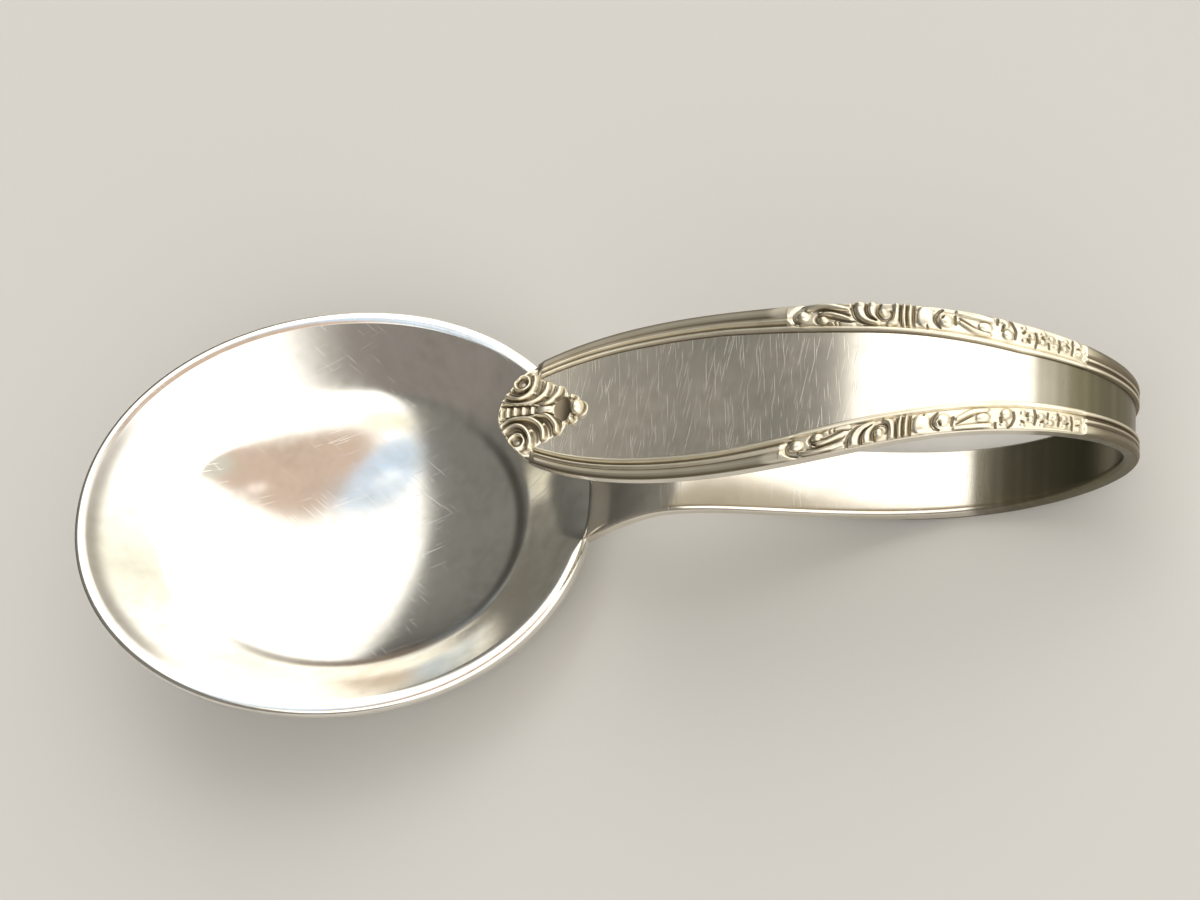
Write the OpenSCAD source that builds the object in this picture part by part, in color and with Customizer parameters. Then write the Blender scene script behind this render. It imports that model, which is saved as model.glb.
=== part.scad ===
// Baby spoon with a loop handle, struck from one piece of silver.
// The functions work with the rim level: the rim's plane is z = 0, the bowl's
// middle is x = 0 and the handle leaves towards +X. The module settled() then
// tips the spoon onto its two rests, with the origin under the bowl.

/* [Bowl] */
// Length of the bowl over its rim
bowl_length = 45; // [38:0.5:52]
// Width of the bowl over its rim
bowl_width = 36.4; // [30:0.2:44]
// Depth of the hollow below the rim
bowl_depth = 7.5; // [5.5:0.1:10]
// Thickness of the silver at the bottom of the bowl
bowl_wall = 0.9; // [0.7:0.05:1.3]
// Width of the flat land along the rim
rim_land = 1.2; // [0.8:0.05:1.6]
// Height of the rim's upright edge
rim_edge = 1.2; // [0.9:0.05:1.5]
// Slope of the wall between the hollow's dish and the rim
wall_slope = 40; // [34:1:44]
// How softly the dish turns into the wall
shoulder_soft = 0.15; // [0.1:0.05:0.6]
// How much of the underside is worn flat where the bowl rests
foot_wear = 0.1; // [0.07:0.01:0.15]

/* [Loop] */
// How far the loop's outer control point lies beyond the bowl
loop_reach = 48.4; // [42:0.2:56]
// Height of the loop's top control point over the rim
loop_height = 25.3; // [22:0.1:30]
// How high the lower run arches over the rim
shank_rise = 5.4; // [4:0.1:7]
// Height of the tip over the rim
tip_height = 16.6; // [14:0.1:20]
// How far the tip hangs back over the bowl
tip_overhang = 3.8; // [1:0.1:6]

/* [Plate] */
// Thickness of the handle's plate under its border
plate_thick = 1; // [0.8:0.05:1.4]
// Width of the handle where it leaves the bowl
neck_width = 6.1; // [5:0.1:7.5]
// Width of the lower run and of the bend
shank_width = 5.1; // [4.4:0.1:6]
// Width of the panel's widest control point
panel_width = 13.8; // [11:0.1:16]
// Width of the tip's control point
tip_width = 5.1; // [4.4:0.1:6.4]
// Length over which the tip rounds off
tip_round = 3.6; // [2.8:0.1:4.6]

/* [Border] */
// Width of the reeded border beside the panel
border_width = 1.8; // [1.5:0.05:2.1]
// Width of the border where it swells for the scrolls
scroll_width = 2.3; // [2:0.05:2.7]
// Height of the border over the panel
border_height = 0.32; // [0.24:0.01:0.4]
// Distance from the tip at which the border starts
border_start = 3.4; // [3.2:0.1:5]

/* [Scrolls] */
// Height of the scrolls over their ground
scroll_height = 0.34; // [0.24:0.01:0.45]
// Half the width of a scroll's ridge
scroll_ridge = 0.17; // [0.12:0.01:0.2]
// Radius of the first scroll
scroll_radius = 0.62; // [0.5:0.01:0.66]

/* [Shell] */
// Distance from the tip to the middle of the volutes
volute_set = 1.86; // [1.7:0.02:2.1]
// Distance between the middles of the two volutes
volute_spread = 4.86; // [4.6:0.02:5.1]
// Radius of the ring in the middle of a volute
ring_radius = 0.56; // [0.46:0.01:0.62]
// Half the width of a ring or bar
ring_ridge = 0.16; // [0.12:0.01:0.18]
// Height of the shell's ridges
shell_height = 0.42; // [0.3:0.01:0.55]
// Distance from the tip to the middle of the cup behind the shell
cup_set = 5.45; // [5.4:0.05:5.8]
// Width of the cup
cup_width = 2; // [1.6:0.05:2.2]

/* [Hidden] */

silver = "silver";
dull_silver = "darkgray";

// The bowl's outline is close to an ellipse, a little fuller at the handle
outline_power = 2.06;
fuller_share = 0.02;
// The hollow is a shallow dish that meets a steeper wall at a shoulder,
// and the underside rounds up to the rim
dish_power = 2.4;
shoulder_share = 0.74;
underside_power = 2.8;
// The rim's land narrows to this share at the handle, between these shares of
// half the neck's width, without pulling the middle of the hollow along
thin_land_share = 0.05;
land_shares = [0.8, 1.5];
land_power = 12;
hollow_shares = [0.16, 0.34, 0.49, 0.61, 0.69, 0.735, 0.78, 0.86, 0.94, 1];
underside_shares = [0.97, 0.92, 0.85, 0.77, 0.68, 0.59, 0.51, 0.44, 0.37, 0.28, 0.16];
// Steps round the bowl outside the neck
bowl_steps = 50;

// Points across the plate, as shares of half its width, and how far its
// rounded edges keep the plate's thickness there
across_shares = [-1, -0.94, -0.8, -0.4, 0, 0.4, 0.8, 0.94, 1];
edge_shares = [0.35, 0.8, 1, 1, 1, 1, 1, 0.8, 0.35];

// Where the handle's control points lie along its lower and upper run
lower_shares = [0, 0.1, 0.275, 0.68, 1];
upper_shares = [0.68, 0.417, 0.117, 0];
// Their heights, as shares of the sizes that handle_rows names
arch_shares = [0.96, 1, 0.28];
bend_height_share = 0.61;
fall_shares = [0.482, 0.085];
// Their widths, as shares of the shank's and of the panel's width
shank_shares = [1, 1.18, 1, 1];
panel_shares = [0.665, 1, 0.95];

// Ends of the panel, the bend and the lower run, as shares of the length
panel_end_share = 0.435;
bend_end_share = 0.635;
shank_end_share = 0.92;
// Where the border fades out under the lower run
border_end_share = 0.78;
// Where the scrolls start, and the length of their row
scroll_start_share = 0.2325;
scroll_run_share = 0.2145;
path_steps = 160;
// Keeps the last point of the path inside its last span
last_share = 0.999999999;
tip_steps = 7;
panel_steps = 26;
bend_steps = 18;
shank_steps = 14;
neck_steps = 7;
// The tip's blunt end, as a share of its rounding
blunt_share = 0.01;
tip_power = 2.2;

// The border's section: share of its width from the edge, share of its height
moulding_shares = [[0, 0.35], [0.05, 0.7], [0.2, 0.95], [0.37, 0.85], [0.46, 0.55],
                   [0.56, 0.85], [0.67, 0.15], [0.76, 0.2], [0.83, 0.9], [0.93, 0.9], [1, 0]];
// Its section under the scrolls: a thin edge, a plain ground and the inner reed
ground_shares = [0.35, 0.5, 0.22, 0.22, 0.22, 0.22, 0.22, 0.22, 0.85, 0.85, 0];
ground_share = 0.22;
// The border's greatest share of half the plate's width, its width at the tip
// as a share of its width beside the panel, and where it has that width
border_share = 0.55;
tip_border_share = 0.8;
full_border_share = 0.5;
// How soon the border swells and narrows, as a share of the scrolls' run
swell_share = 0.4;
// What is left of the border's height where it has faded out
thin_share = 0.15;
// Length over which reeds and ground change over, and how far before and
// after the scrolls the border starts to swell
reed_fade = 1.2;
swell_lead = 2;
// Clear space under the raised ornament
seat_gap = 0.02;

function mix(a, b, t) = a + (b - a) * t;
function clamp(t) = min(max(t, 0), 1);
function smooth(t) = let (c = clamp(t)) c * c * (3 - 2 * c);
function signed_pow(v, e) = sign(v) * pow(abs(v), e);
function sum_to(list, last) = last < 0 ? 0 : list[last] + sum_to(list, last - 1);

// Cubic B-spline through knots that are doubled up at its ends
function knot(i, spans) = min(max(i - 3, 0), spans);
function ratio(a, b) = b == 0 ? 0 : a / b;
function basis(i, p, u, spans) =
    p == 0 ? (knot(i, spans) <= u && u < knot(i + 1, spans) ? 1 : 0)
    : ratio(u - knot(i, spans), knot(i + p, spans) - knot(i, spans)) * basis(i, p - 1, u, spans)
    + ratio(knot(i + p + 1, spans) - u, knot(i + p + 1, spans) - knot(i + 1, spans))
      * basis(i + 1, p - 1, u, spans);
function spline(rows, t) =
    let (spans = len(rows) - 3, u = min(max(t, 0), last_share) * spans, first = floor(u))
    [for (axis = [0:2])
        sum_to([for (k = [0:3]) rows[first + k][axis] * basis(first + k, 3, u, spans)], 3)];

// The handle's control points: place along X, height and width
bowl_end = bowl_length / 2;
tip_x = bowl_end - tip_overhang;
loop_x = bowl_end + loop_reach;
function lower_x(i) = mix(bowl_end, loop_x, lower_shares[i]);
function upper_x(i) = mix(tip_x, loop_x, upper_shares[i]);
function fall_z(i) = mix(tip_height, loop_height, fall_shares[i]);
handle_rows = [
    [bowl_end, 0, neck_width],
    [lower_x(1), shank_rise * arch_shares[0], shank_width * shank_shares[0]],
    [lower_x(2), shank_rise * arch_shares[1], shank_width * shank_shares[1]],
    [lower_x(3), shank_rise * arch_shares[2], shank_width * shank_shares[2]],
    [loop_x, loop_height * bend_height_share, shank_width * shank_shares[3]],
    [upper_x(0), loop_height, panel_width * panel_shares[0]],
    [upper_x(1), fall_z(0), panel_width * panel_shares[1]],
    [upper_x(2), fall_z(1), panel_width * panel_shares[2]],
    [tip_x, tip_height, tip_width]];

// Length along the handle, from the bowl's rim to each step of the path
path = [for (i = [0:path_steps]) spline(handle_rows, i / path_steps)];
function flat(p) = [p[0], p[1]];
steps = [for (i = [1:path_steps]) norm(flat(path[i]) - flat(path[i - 1]))];
lengths = [for (i = 0, s = 0; i <= path_steps; s = i < path_steps ? s + steps[i] : s, i = i + 1) s];
handle_length = lengths[path_steps];
// Spline value at a distance back from the tip
at_distance = [for (i = [path_steps:-1:0]) [handle_length - lengths[i], i / path_steps]];
function value_at(d) = lookup(d, at_distance);

// A spot on the handle: place, outward direction and half width
turn_step = 0.002;
function facing(t) =
    let (a = spline(handle_rows, t - turn_step), b = spline(handle_rows, t + turn_step),
         go = (flat(b) - flat(a)) / norm(flat(b) - flat(a)))
    [go[1], -go[0]];
function tip_share(d) = sqrt(1 - pow(1 - clamp(max(d, tip_round * blunt_share) / tip_round), tip_power));
function spot(d) =
    let (t = value_at(d), p = spline(handle_rows, t))
    [p[0], p[1], facing(t)[0], facing(t)[1], p[2] / 2 * tip_share(d)];

// Distances from the tip at which the plate is cut into rings
panel_end = handle_length * panel_end_share;
bend_end = handle_length * bend_end_share;
shank_end = handle_length * shank_end_share;
border_end = handle_length * border_end_share;
scroll_start = handle_length * scroll_start_share;
scroll_run = handle_length * scroll_run_share;
tip_cuts = [for (i = [0:tip_steps]) tip_round * (1 - cos(90 * i / tip_steps))];
panel_cuts = concat(tip_cuts, [for (i = [1:panel_steps]) mix(tip_round, panel_end, i / panel_steps)]);
bend_cuts = [for (i = [0:bend_steps]) mix(panel_end, bend_end, i / bend_steps)];
shank_cuts = [for (i = [0:shank_steps]) mix(bend_end, shank_end, i / shank_steps)];
plate_cuts = concat(panel_cuts, [for (i = [1:bend_steps]) bend_cuts[i]],
                    [for (i = [1:shank_steps]) shank_cuts[i]]);
spots = [for (d = plate_cuts) spot(d)];

// Reads the plate as it is faceted, so what sits on it meets its faces
function column(k) = [for (i = [0:len(spots) - 1]) [plate_cuts[i], spots[i][k]]];
spot_columns = [for (k = [0:4]) column(k)];
function spot_on(d) = [for (k = [0:4]) lookup(d, spot_columns[k])];
function on_spot(s, y, h) = [s[0] + s[2] * h, y, s[1] + s[3] * h];
function on_plate(d, y, h) = on_spot(spot_on(d), y, plate_thick / 2 + h);
function half_width(d) = lookup(d, spot_columns[4]);

// How much of the border and of its reeds there is at a distance
function border_full(d) =
    mix(thin_share, 1, smooth((border_end - d) / (border_end - bend_end)));
function reeds_full(d) =
    1 - smooth((d - scroll_start + reed_fade) / reed_fade)
      * smooth((scroll_start + scroll_run + reed_fade - d) / reed_fade);
function swell(d) =
    smooth((d - scroll_start + swell_lead) / scroll_run / swell_share)
    * smooth((scroll_start + scroll_run + swell_lead - d) / scroll_run / swell_share);
function plain_border(d) =
    border_width * mix(tip_border_share, 1, smooth(d / scroll_start / full_border_share));
function border_at(d) =
    min(mix(plain_border(d), scroll_width, swell(d)), border_share * half_width(d));

// Closed rings of points joined into a solid, with its two ends closed by strips
function ring_faces(count, size) = [
    for (j = [0:count - 2]) for (i = [0:size - 1])
        let (a = j * size + i, b = j * size + (i + 1) % size)
        each [[a, b, b + size], [a, b + size, a + size]]];
function cap_faces(from, size, turned) = [
    for (i = [0:floor((size - 3) / 2)])
        let (a = from + i, b = from + i + 1, c = from + size - 2 - i, d = from + size - 1 - i)
        each [if (b != c) turned ? [a, b, c] : [c, b, a], turned ? [a, c, d] : [d, c, a]]];
function flat_cap(from, size, turned) =
    [[for (i = [0:size - 1]) from + (turned ? i : size - 1 - i)]];
module skin(rings, flat_ends = false) {
    size = len(rings[0]);
    last = (len(rings) - 1) * size;
    polyhedron(
        points = [for (ring = rings) each ring],
        faces = concat(ring_faces(len(rings), size),
            flat_ends ? flat_cap(0, size, false) : cap_faces(0, size, false),
            flat_ends ? flat_cap(last, size, true) : cap_faces(last, size, true)));
}

// Ring of the plate at a spot, outer face first
function plate_ring(s, outer_full) = concat(
    [for (i = [0:len(across_shares) - 1])
        on_spot(s, across_shares[i] * s[4], plate_thick / 2 * mix(edge_shares[i], 1, outer_full))],
    [for (i = [len(across_shares) - 1:-1:0])
        on_spot(s, across_shares[i] * s[4], -plate_thick / 2 * edge_shares[i])]);
function outer_full(d) = smooth((shank_end - d) / (shank_end - border_end));
function plate_rings(cuts) = [for (d = cuts) plate_ring(spot(d), outer_full(d))];

// Bowl outline at an angle, drawn in from the rim by inset and scaled by share
function outline(angle, inset, share) =
    let (c = signed_pow(cos(angle), 2 / outline_power), s = signed_pow(sin(angle), 2 / outline_power))
    [(bowl_length / 2 - inset) * share * c,
     (bowl_width / 2 - inset) * share * s * (1 + fuller_share * cos(angle))];
function root_angle(share) =
    sign(share) * asin(pow(abs(share) * neck_width / bowl_width / (1 + fuller_share), outline_power / 2));
root_angles = [for (share = across_shares) root_angle(share)];
far_root = root_angles[len(root_angles) - 1];
bowl_angles = concat(root_angles,
    [for (i = [1:bowl_steps - 1]) mix(far_root, 360 - far_root, i / bowl_steps)]);

wall_run = bowl_end - rim_land;
function wall_z(share) = wall_run * tan(wall_slope) * (share - 1);
function dish_z(share) =
    -bowl_depth + (bowl_depth + wall_z(shoulder_share)) * pow(share / shoulder_share, dish_power);
// The higher of dish and wall, with a soft shoulder between them
function hollow_z(share) =
    let (gap = dish_z(share) - wall_z(share))
    wall_z(share) + (gap + norm([gap, shoulder_soft])) / 2;
function underside_z(share) =
    -rim_edge - (bowl_depth + bowl_wall - rim_edge) * (1 - pow(share, underside_power));

// The line that the spoon rests on: under the bowl and under the bend
profile_steps = 60;
bowl_profile = [for (i = [1:profile_steps - 1])
    let (share = i / profile_steps) [bowl_end * share, underside_z(share) + foot_wear]];
function underside(s, d) =
    let (h = plate_thick / 2 + (d < border_end ? border_height * border_full(d) : 0))
    [s[0] + s[2] * h, s[1] + s[3] * h];
heel_profile = [for (i = [len(panel_cuts):len(spots) - 1]) underside(spots[i], plate_cuts[i])];
function rise(q, p) = (p[1] - q[1]) / (p[0] - q[0]);
function steepest(p) = max([for (q = bowl_profile) rise(q, p)]);
heel_rises = [for (p = heel_profile) steepest(p)];
rest_rise = min(heel_rises);
heel = heel_profile[search(rest_rise, heel_rises)[0]];
bowl_rises = [for (q = bowl_profile) rise(q, heel)];
foot = bowl_profile[search(max(bowl_rises), bowl_rises)[0]];
rest_pitch = atan(rest_rise);
function over_table(p) = (p[2] - foot[1]) * cos(rest_pitch) - (p[0] - foot[0]) * sin(rest_pitch);
// Points that would lie below the table are worn off level with it
function worn(p) = let (lift = max(0, -over_table(p)))
    [p[0] - lift * sin(rest_pitch), p[1], p[2] + lift * cos(rest_pitch)];

module settled() {
    rotate([0, rest_pitch, 0]) translate([-foot[0], 0, -foot[1]]) children();
}

function land_at(angle) =
    let (out = abs(outline(angle, 0, 2)[1]) / neck_width, first = land_shares[0],
         beside = cos(angle) > 0 ? smooth((out - first) / (land_shares[1] - first)) : 1)
    rim_land * mix(thin_land_share, 1, beside);
function bowl_ring(land, share, z) =
    [for (angle = bowl_angles)
        let (inset = land * mix(rim_land, land_at(angle), pow(share, land_power)),
             p = outline(angle, inset, share))
        worn([p[0], p[1], z])];

module bowl() {
    color(silver) settled() skin(concat(
        [for (share = hollow_shares) bowl_ring(1, share, hollow_z(share))],
        [bowl_ring(0, 1, 0), bowl_ring(0, 1, -rim_edge)],
        [for (share = underside_shares) bowl_ring(0, share, underside_z(share))]));
}

// The neck blends the rim's edge into the lower run's first ring
rim_ring = concat(
    [for (angle = root_angles) let (p = outline(angle, 0, 1)) [p[0], p[1], -rim_edge]],
    [for (i = [len(root_angles) - 1:-1:0]) let (p = outline(root_angles[i], 0, 1)) [p[0], p[1], 0]]);
function neck_ring(i) =
    let (d = mix(shank_end, handle_length, i / neck_steps), own = plate_ring(spot(d), 0),
         blend = smooth(i / neck_steps))
    [for (k = [0:len(own) - 1]) mix(own[k], rim_ring[k], blend)];

module neck() {
    color(silver) settled() skin([for (i = [0:neck_steps]) neck_ring(i)]);
}

module shank() {
    color(silver) settled() skin(plate_rings(shank_cuts));
}

module bend() {
    color(silver) settled() skin(plate_rings(bend_cuts));
}

module panel() {
    color(dull_silver) settled() skin(plate_rings(panel_cuts));
}

// The border: a round outer bead, then reeds, which give way to a plain
// ground under the scrolls. Side is 1 away from the viewer and -1 near.
function border_ring(d, side) =
    let (s = spot_on(d), w = border_at(d), full = border_height * border_full(d),
         base = plate_thick / 2, reeds = reeds_full(d),
         ring = concat([on_spot(s, side * s[4], base)],
             [for (i = [0:len(moulding_shares) - 1])
                 on_spot(s, side * (s[4] - w * moulding_shares[i][0]),
                         base + full * mix(ground_shares[i], moulding_shares[i][1], reeds))]))
    [for (i = [0:len(ring) - 1]) ring[side < 0 ? i : len(ring) - 1 - i]];
border_cuts = concat([border_start],
    [for (d = plate_cuts) if (d > border_start + seat_gap && d < border_end - seat_gap) d],
    [border_end]);

module border(side) {
    color(silver) settled() skin([for (d = border_cuts) border_ring(d, side)], true);
}

module near_border() {
    border(-1);
}

module far_border() {
    border(1);
}

// A raised stroke along a line of [distance, y] points: its ridge has five
// points across, and thins out towards both ends
ridge_shares = [[-1, 0], [-0.62, 0.72], [0, 1], [0.62, 0.72], [1, 0]];
thin_end_share = 0.3;
function line_way(line, k) =
    let (last = len(line) - 1, way = line[min(k + 1, last)] - line[max(k - 1, 0)])
    way / norm(way);
function stroke_full(t, head) =
    mix(thin_end_share, 1, sqrt(sin(180 * clamp(t)))) * mix(1, head, t);
function stroke_ring(line, k, ridge, height, base, head) =
    let (way = line_way(line, k), full = stroke_full(k / (len(line) - 1), head))
    [for (share = ridge_shares)
        let (p = line[k] + [-way[1], way[0]] * share[0] * ridge * full)
        on_plate(p[0], p[1], base + seat_gap + share[1] * height * full)];
module stroke(line, ridge, height, base, head = 1) {
    skin([for (k = [0:len(line) - 1]) stroke_ring(line, k, ridge, height, base, head)]);
}

// A dome on the plate
dome_shares = [[1, 0], [0.86, 0.55], [0.5, 0.9]];
dome_sides = 10;
module pearl(d, y, r, height, base) {
    skin([for (share = dome_shares) [for (i = [0:dome_sides - 1])
        let (a = -360 * i / dome_sides)
        on_plate(d + r * share[0] * cos(a), y + r * share[0] * sin(a),
                 base + seat_gap + height * share[1])]]);
}

// Line for a stroke: a curl that winds in
function curl(centre, from, to, start, sweep, steps) =
    [for (i = [0:steps]) let (a = start + sweep * i / steps, r = mix(from, to, i / steps))
        centre + r * [cos(a), sin(a)]];

// The scrollwork of one border. Places are shares of its run and of the
// border's width. Turns have a radius share, how far they wind in, start and sweep.
turn_shares = [[0.046, 0.44, 0.84, 0.9, 50, 260], [0.329, 0.33, 0.58, 0.35, 100, 300],
               [0.53, 0.42, 0.86, 0.85, 55, 250], [0.73, 0.4, 0.86, 0.85, 125, -250],
               [0.785, 0.34, 0.58, 0.35, 90, 290], [0.828, 0.4, 0.58, 0.35, -90, -290],
               [0.871, 0.34, 0.56, 0.35, 90, 290], [0.914, 0.4, 0.54, 0.35, -90, -290],
               [0.956, 0.34, 0.52, 0.35, 90, 290]];
knob_shares = [[0.052, 0.44, 0.3], [0.119, 0.6, 0.55], [0.535, 0.42, 0.34], [0.724, 0.4, 0.34]];
// Leaves are lines of places, with the ridge's share before them
leaf_shares = [[1.1, [[0.09, 0.13], [0.15, 0.14], [0.205, 0.2]]],
               [1.1, [[0.11, 0.36], [0.158, 0.4], [0.208, 0.53]]],
               [0.7, [[0.153, 0.68], [0.186, 0.72], [0.222, 0.75]]],
               [2, [[0.248, 0.06], [0.246, 0.28], [0.257, 0.48], [0.278, 0.61], [0.31, 0.71]]],
               [1.3, [[0.291, 0.06], [0.288, 0.25], [0.292, 0.38], [0.301, 0.48]]],
               [1.3, [[0.373, 0.08], [0.374, 0.35], [0.37, 0.7]]],
               [0.8, [[0.398, 0.08], [0.398, 0.4], [0.4, 0.72]]],
               [0.8, [[0.418, 0.08], [0.418, 0.4], [0.42, 0.72]]],
               [1.4, [[0.44, 0.22], [0.462, 0.22], [0.486, 0.22]]],
               [1.4, [[0.44, 0.53], [0.462, 0.53], [0.486, 0.53]]],
               [1.1, [[0.574, 0.14], [0.62, 0.15], [0.69, 0.18]]],
               [1, [[0.58, 0.42], [0.61, 0.55], [0.65, 0.65]]],
               [1, [[0.61, 0.35], [0.64, 0.4], [0.68, 0.42]]]];
turn_steps = 12;

function run_at(share) = scroll_start + scroll_run * share;
function scroll_place(along, across, side) =
    let (d = run_at(along)) [d, side * (half_width(d) - border_at(d) * across)];
function scroll_size(along) = border_at(run_at(along)) / scroll_width;
scroll_base = border_height * ground_share;

module scrolls(side) {
    for (c = turn_shares) let (r = scroll_radius * c[2] * scroll_size(c[0]))
        stroke(curl(scroll_place(c[0], c[1], side), r, r * c[3], side * c[4], side * c[5], turn_steps),
               scroll_ridge * scroll_size(c[0]) * sqrt(c[2]), scroll_height, scroll_base);
    for (p = knob_shares) let (at = scroll_place(p[0], p[1], side))
        pearl(at[0], at[1], scroll_radius * p[2] * scroll_size(p[0]), scroll_height, scroll_base);
    for (l = leaf_shares)
        stroke([for (p = l[1]) scroll_place(p[0], p[1], side)], scroll_ridge * l[0],
               scroll_height, scroll_base);
}

module near_scrolls() {
    color(silver) settled() scrolls(-1);
}

module far_scrolls() {
    color(silver) settled() scrolls(1);
}

// The shell at the tip: rings and arcs round two volutes, bars between them,
// and a cup behind. Arcs are shares of the volutes' distance from the tip and
// from the middle line.
arc_shares = [[[0.27, 0.675], [0.54, 0.53], [0.92, 0.45], [1.27, 0.56], [1.5, 0.79], [1.58, 1], [1.55, 1.12]],
              [[0.19, 0.41], [0.61, 0.26], [1.15, 0.235], [1.61, 0.305], [1.96, 0.5], [2.11, 0.7],
               [2.15, 0.88]],
              [[1.77, 0.15], [2.15, 0.2], [2.46, 0.33], [2.65, 0.53], [2.69, 0.68]]];
arc_head = 1.3;
ring_steps = 12;
ring_open = 20;
bead_shares = [[1.6, 0.6, 0.8], [2.2, 0.48, 0.7], [3.36, 0.41, 1.2]];
shell_bars = 5;
bar_set_shares = [0.16, 1.56];
bar_half_share = 0.12;
bar_ridge_share = 0.75;
tongue_shares = [2.05, 1.6];
cup_length_share = 0.76;
cup_ridge_share = 0.7;
pearl_set_share = 0.64;
pearl_share = 0.26;
function shell_place(p, side) = [p[0] * volute_set, side * p[1] * volute_spread / 2];
function bar_d(i) = volute_set * mix(bar_set_shares[0], bar_set_shares[1], i / (shell_bars - 1));
cup_line = [for (i = [0:ring_steps + 2])
    let (a = mix(ring_open, 360 - ring_open, i / (ring_steps + 2)))
    [cup_set + cup_width / 2 * cup_length_share * cos(a), cup_width / 2 * sin(a)]];

module volute(side) {
    stroke(curl(shell_place([1, 1], side), ring_radius, ring_radius, side * ring_open,
                side * (360 - 2 * ring_open), ring_steps), ring_ridge, shell_height, 0);
    for (arc = arc_shares)
        stroke([for (p = arc) shell_place(p, side)], ring_ridge, shell_height, 0, arc_head);
    for (b = bead_shares) let (at = shell_place(b, side))
        pearl(at[0], at[1], ring_ridge * b[2], shell_height, 0);
}

module shell() {
    color(silver) settled() {
        volute(-1);
        volute(1);
        for (i = [0:shell_bars - 1])
            stroke([for (t = [-1, 0, 1]) [bar_d(i), t * bar_half_share * volute_spread / 2]],
                   ring_ridge * bar_ridge_share, shell_height, 0);
        pearl(volute_set * tongue_shares[0], 0, ring_ridge * tongue_shares[1], shell_height, 0);
        stroke(cup_line, ring_ridge * cup_ridge_share, shell_height, 0);
        pearl(cup_set + cup_width * pearl_set_share, 0, cup_width * pearl_share, shell_height, 0);
    }
}

bowl();
neck();
shank();
bend();
panel();
near_border();
far_border();
near_scrolls();
far_scrolls();
shell();
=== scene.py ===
import math

import bpy
import numpy as np
from mathutils import Matrix


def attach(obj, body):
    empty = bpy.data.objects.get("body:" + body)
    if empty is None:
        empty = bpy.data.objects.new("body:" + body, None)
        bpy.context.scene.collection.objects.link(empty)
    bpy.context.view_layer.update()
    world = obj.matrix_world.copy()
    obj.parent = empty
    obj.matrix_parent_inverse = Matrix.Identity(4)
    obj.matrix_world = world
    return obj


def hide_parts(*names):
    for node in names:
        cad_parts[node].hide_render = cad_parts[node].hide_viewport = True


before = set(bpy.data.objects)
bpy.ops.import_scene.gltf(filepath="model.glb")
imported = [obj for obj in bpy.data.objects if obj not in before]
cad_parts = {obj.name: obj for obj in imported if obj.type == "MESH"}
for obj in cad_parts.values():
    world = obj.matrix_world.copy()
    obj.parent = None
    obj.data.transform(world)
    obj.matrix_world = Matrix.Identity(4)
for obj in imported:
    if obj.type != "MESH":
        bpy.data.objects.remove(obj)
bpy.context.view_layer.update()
print("frame loaded")

# A silver baby spoon: an oval bowl whose handle bends back over it as a finger loop.
# Shapes are worked out in millimetres with the rim level: the rim is z = 0, the middle
# of the bowl is x = 0 and the handle leaves towards +x. settle() turns them into the
# frame's metres, tipped onto the two spots that the spoon rests on.


# Numbers and curves

def mix(a, b, t):
    # straight from a to b
    return a + (b - a) * t


def ease(t):
    # smooth step, 3t^2 - 2t^3 between 0 and 1
    c = np.clip(t, 0, 1)
    return c * c * (3 - 2 * c)


def splineBasis(count, t):
    # Cox-de Boor recursion for a cubic B-spline on even knots, doubled up at both ends
    spans = count - 3
    knots = np.clip(np.arange(count + 4) - 3, 0, spans).astype(float)
    u = np.clip(t, 0, 1 - 1e-9) * spans
    basis = [((knots[i] <= u) & (u < knots[i + 1])).astype(float) for i in range(count + 3)]
    for degree in (1, 2, 3):
        wider = []
        for i in range(len(basis) - 1):
            rise = knots[i + degree] - knots[i]
            fall = knots[i + degree + 1] - knots[i + 1]
            up = (u - knots[i]) / rise * basis[i] if rise else 0
            down = (knots[i + degree + 1] - u) / fall * basis[i + 1] if fall else 0
            wider.append(up + down)
        basis = wider
    return np.stack(basis, -1)


def splineAt(controls, t):
    # the control rows, each times its share at t
    return splineBasis(len(controls), np.asarray(t, float)) @ np.asarray(controls, float)


def blur(field, rows, columns):
    # Gaussian blur of a grid, by its transform, with the edges mirrored
    padded = np.pad(field, ((0, field.shape[0]), (0, field.shape[1])), mode="symmetric")
    across = np.fft.fftfreq(padded.shape[1]) * columns
    along = np.fft.fftfreq(padded.shape[0]) * rows
    gauss = np.exp(-2 * np.pi ** 2 * (along[:, None] ** 2 + across[None, :] ** 2))
    return np.fft.ifft2(np.fft.fft2(padded) * gauss).real[:field.shape[0], :field.shape[1]]


# The handle's line and the bowl's outline, from which every piece is worked out

handleShape = {
    # the controls' heights and widths, and the shares of the way from the neck to the loop's end
    # and back to the tip at which they lie
    "reach": 48.4, "loopHeight": 25.3, "rise": 5.4, "tipHeight": 16.6, "tipOverhang": 3.8,
    "thickness": 1.0, "neckWidth": 6.1, "shankWidth": 5.1, "panelWidth": 13.8, "tipWidth": 5.1,
    "lowerShares": [0, 0.1, 0.275, 0.68, 1], "upperShares": [0.68, 0.417, 0.117, 0],
    "archShares": [0.96, 1, 0.28], "bendHeightShare": 0.61, "fallShares": [0.482, 0.085],
    "shankShares": [1, 1.18, 1, 1], "panelShares": [0.665, 1, 0.95],
    "panelEndShare": 0.435, "bendEndShare": 0.635, "shankEndShare": 0.92,
    "tipRound": 3.6, "tipPower": 2.2,
    "innerRound": 0.42, "outerRound": 0.3, "hiddenRound": 0.03, "lineSteps": 6001,
}

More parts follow.
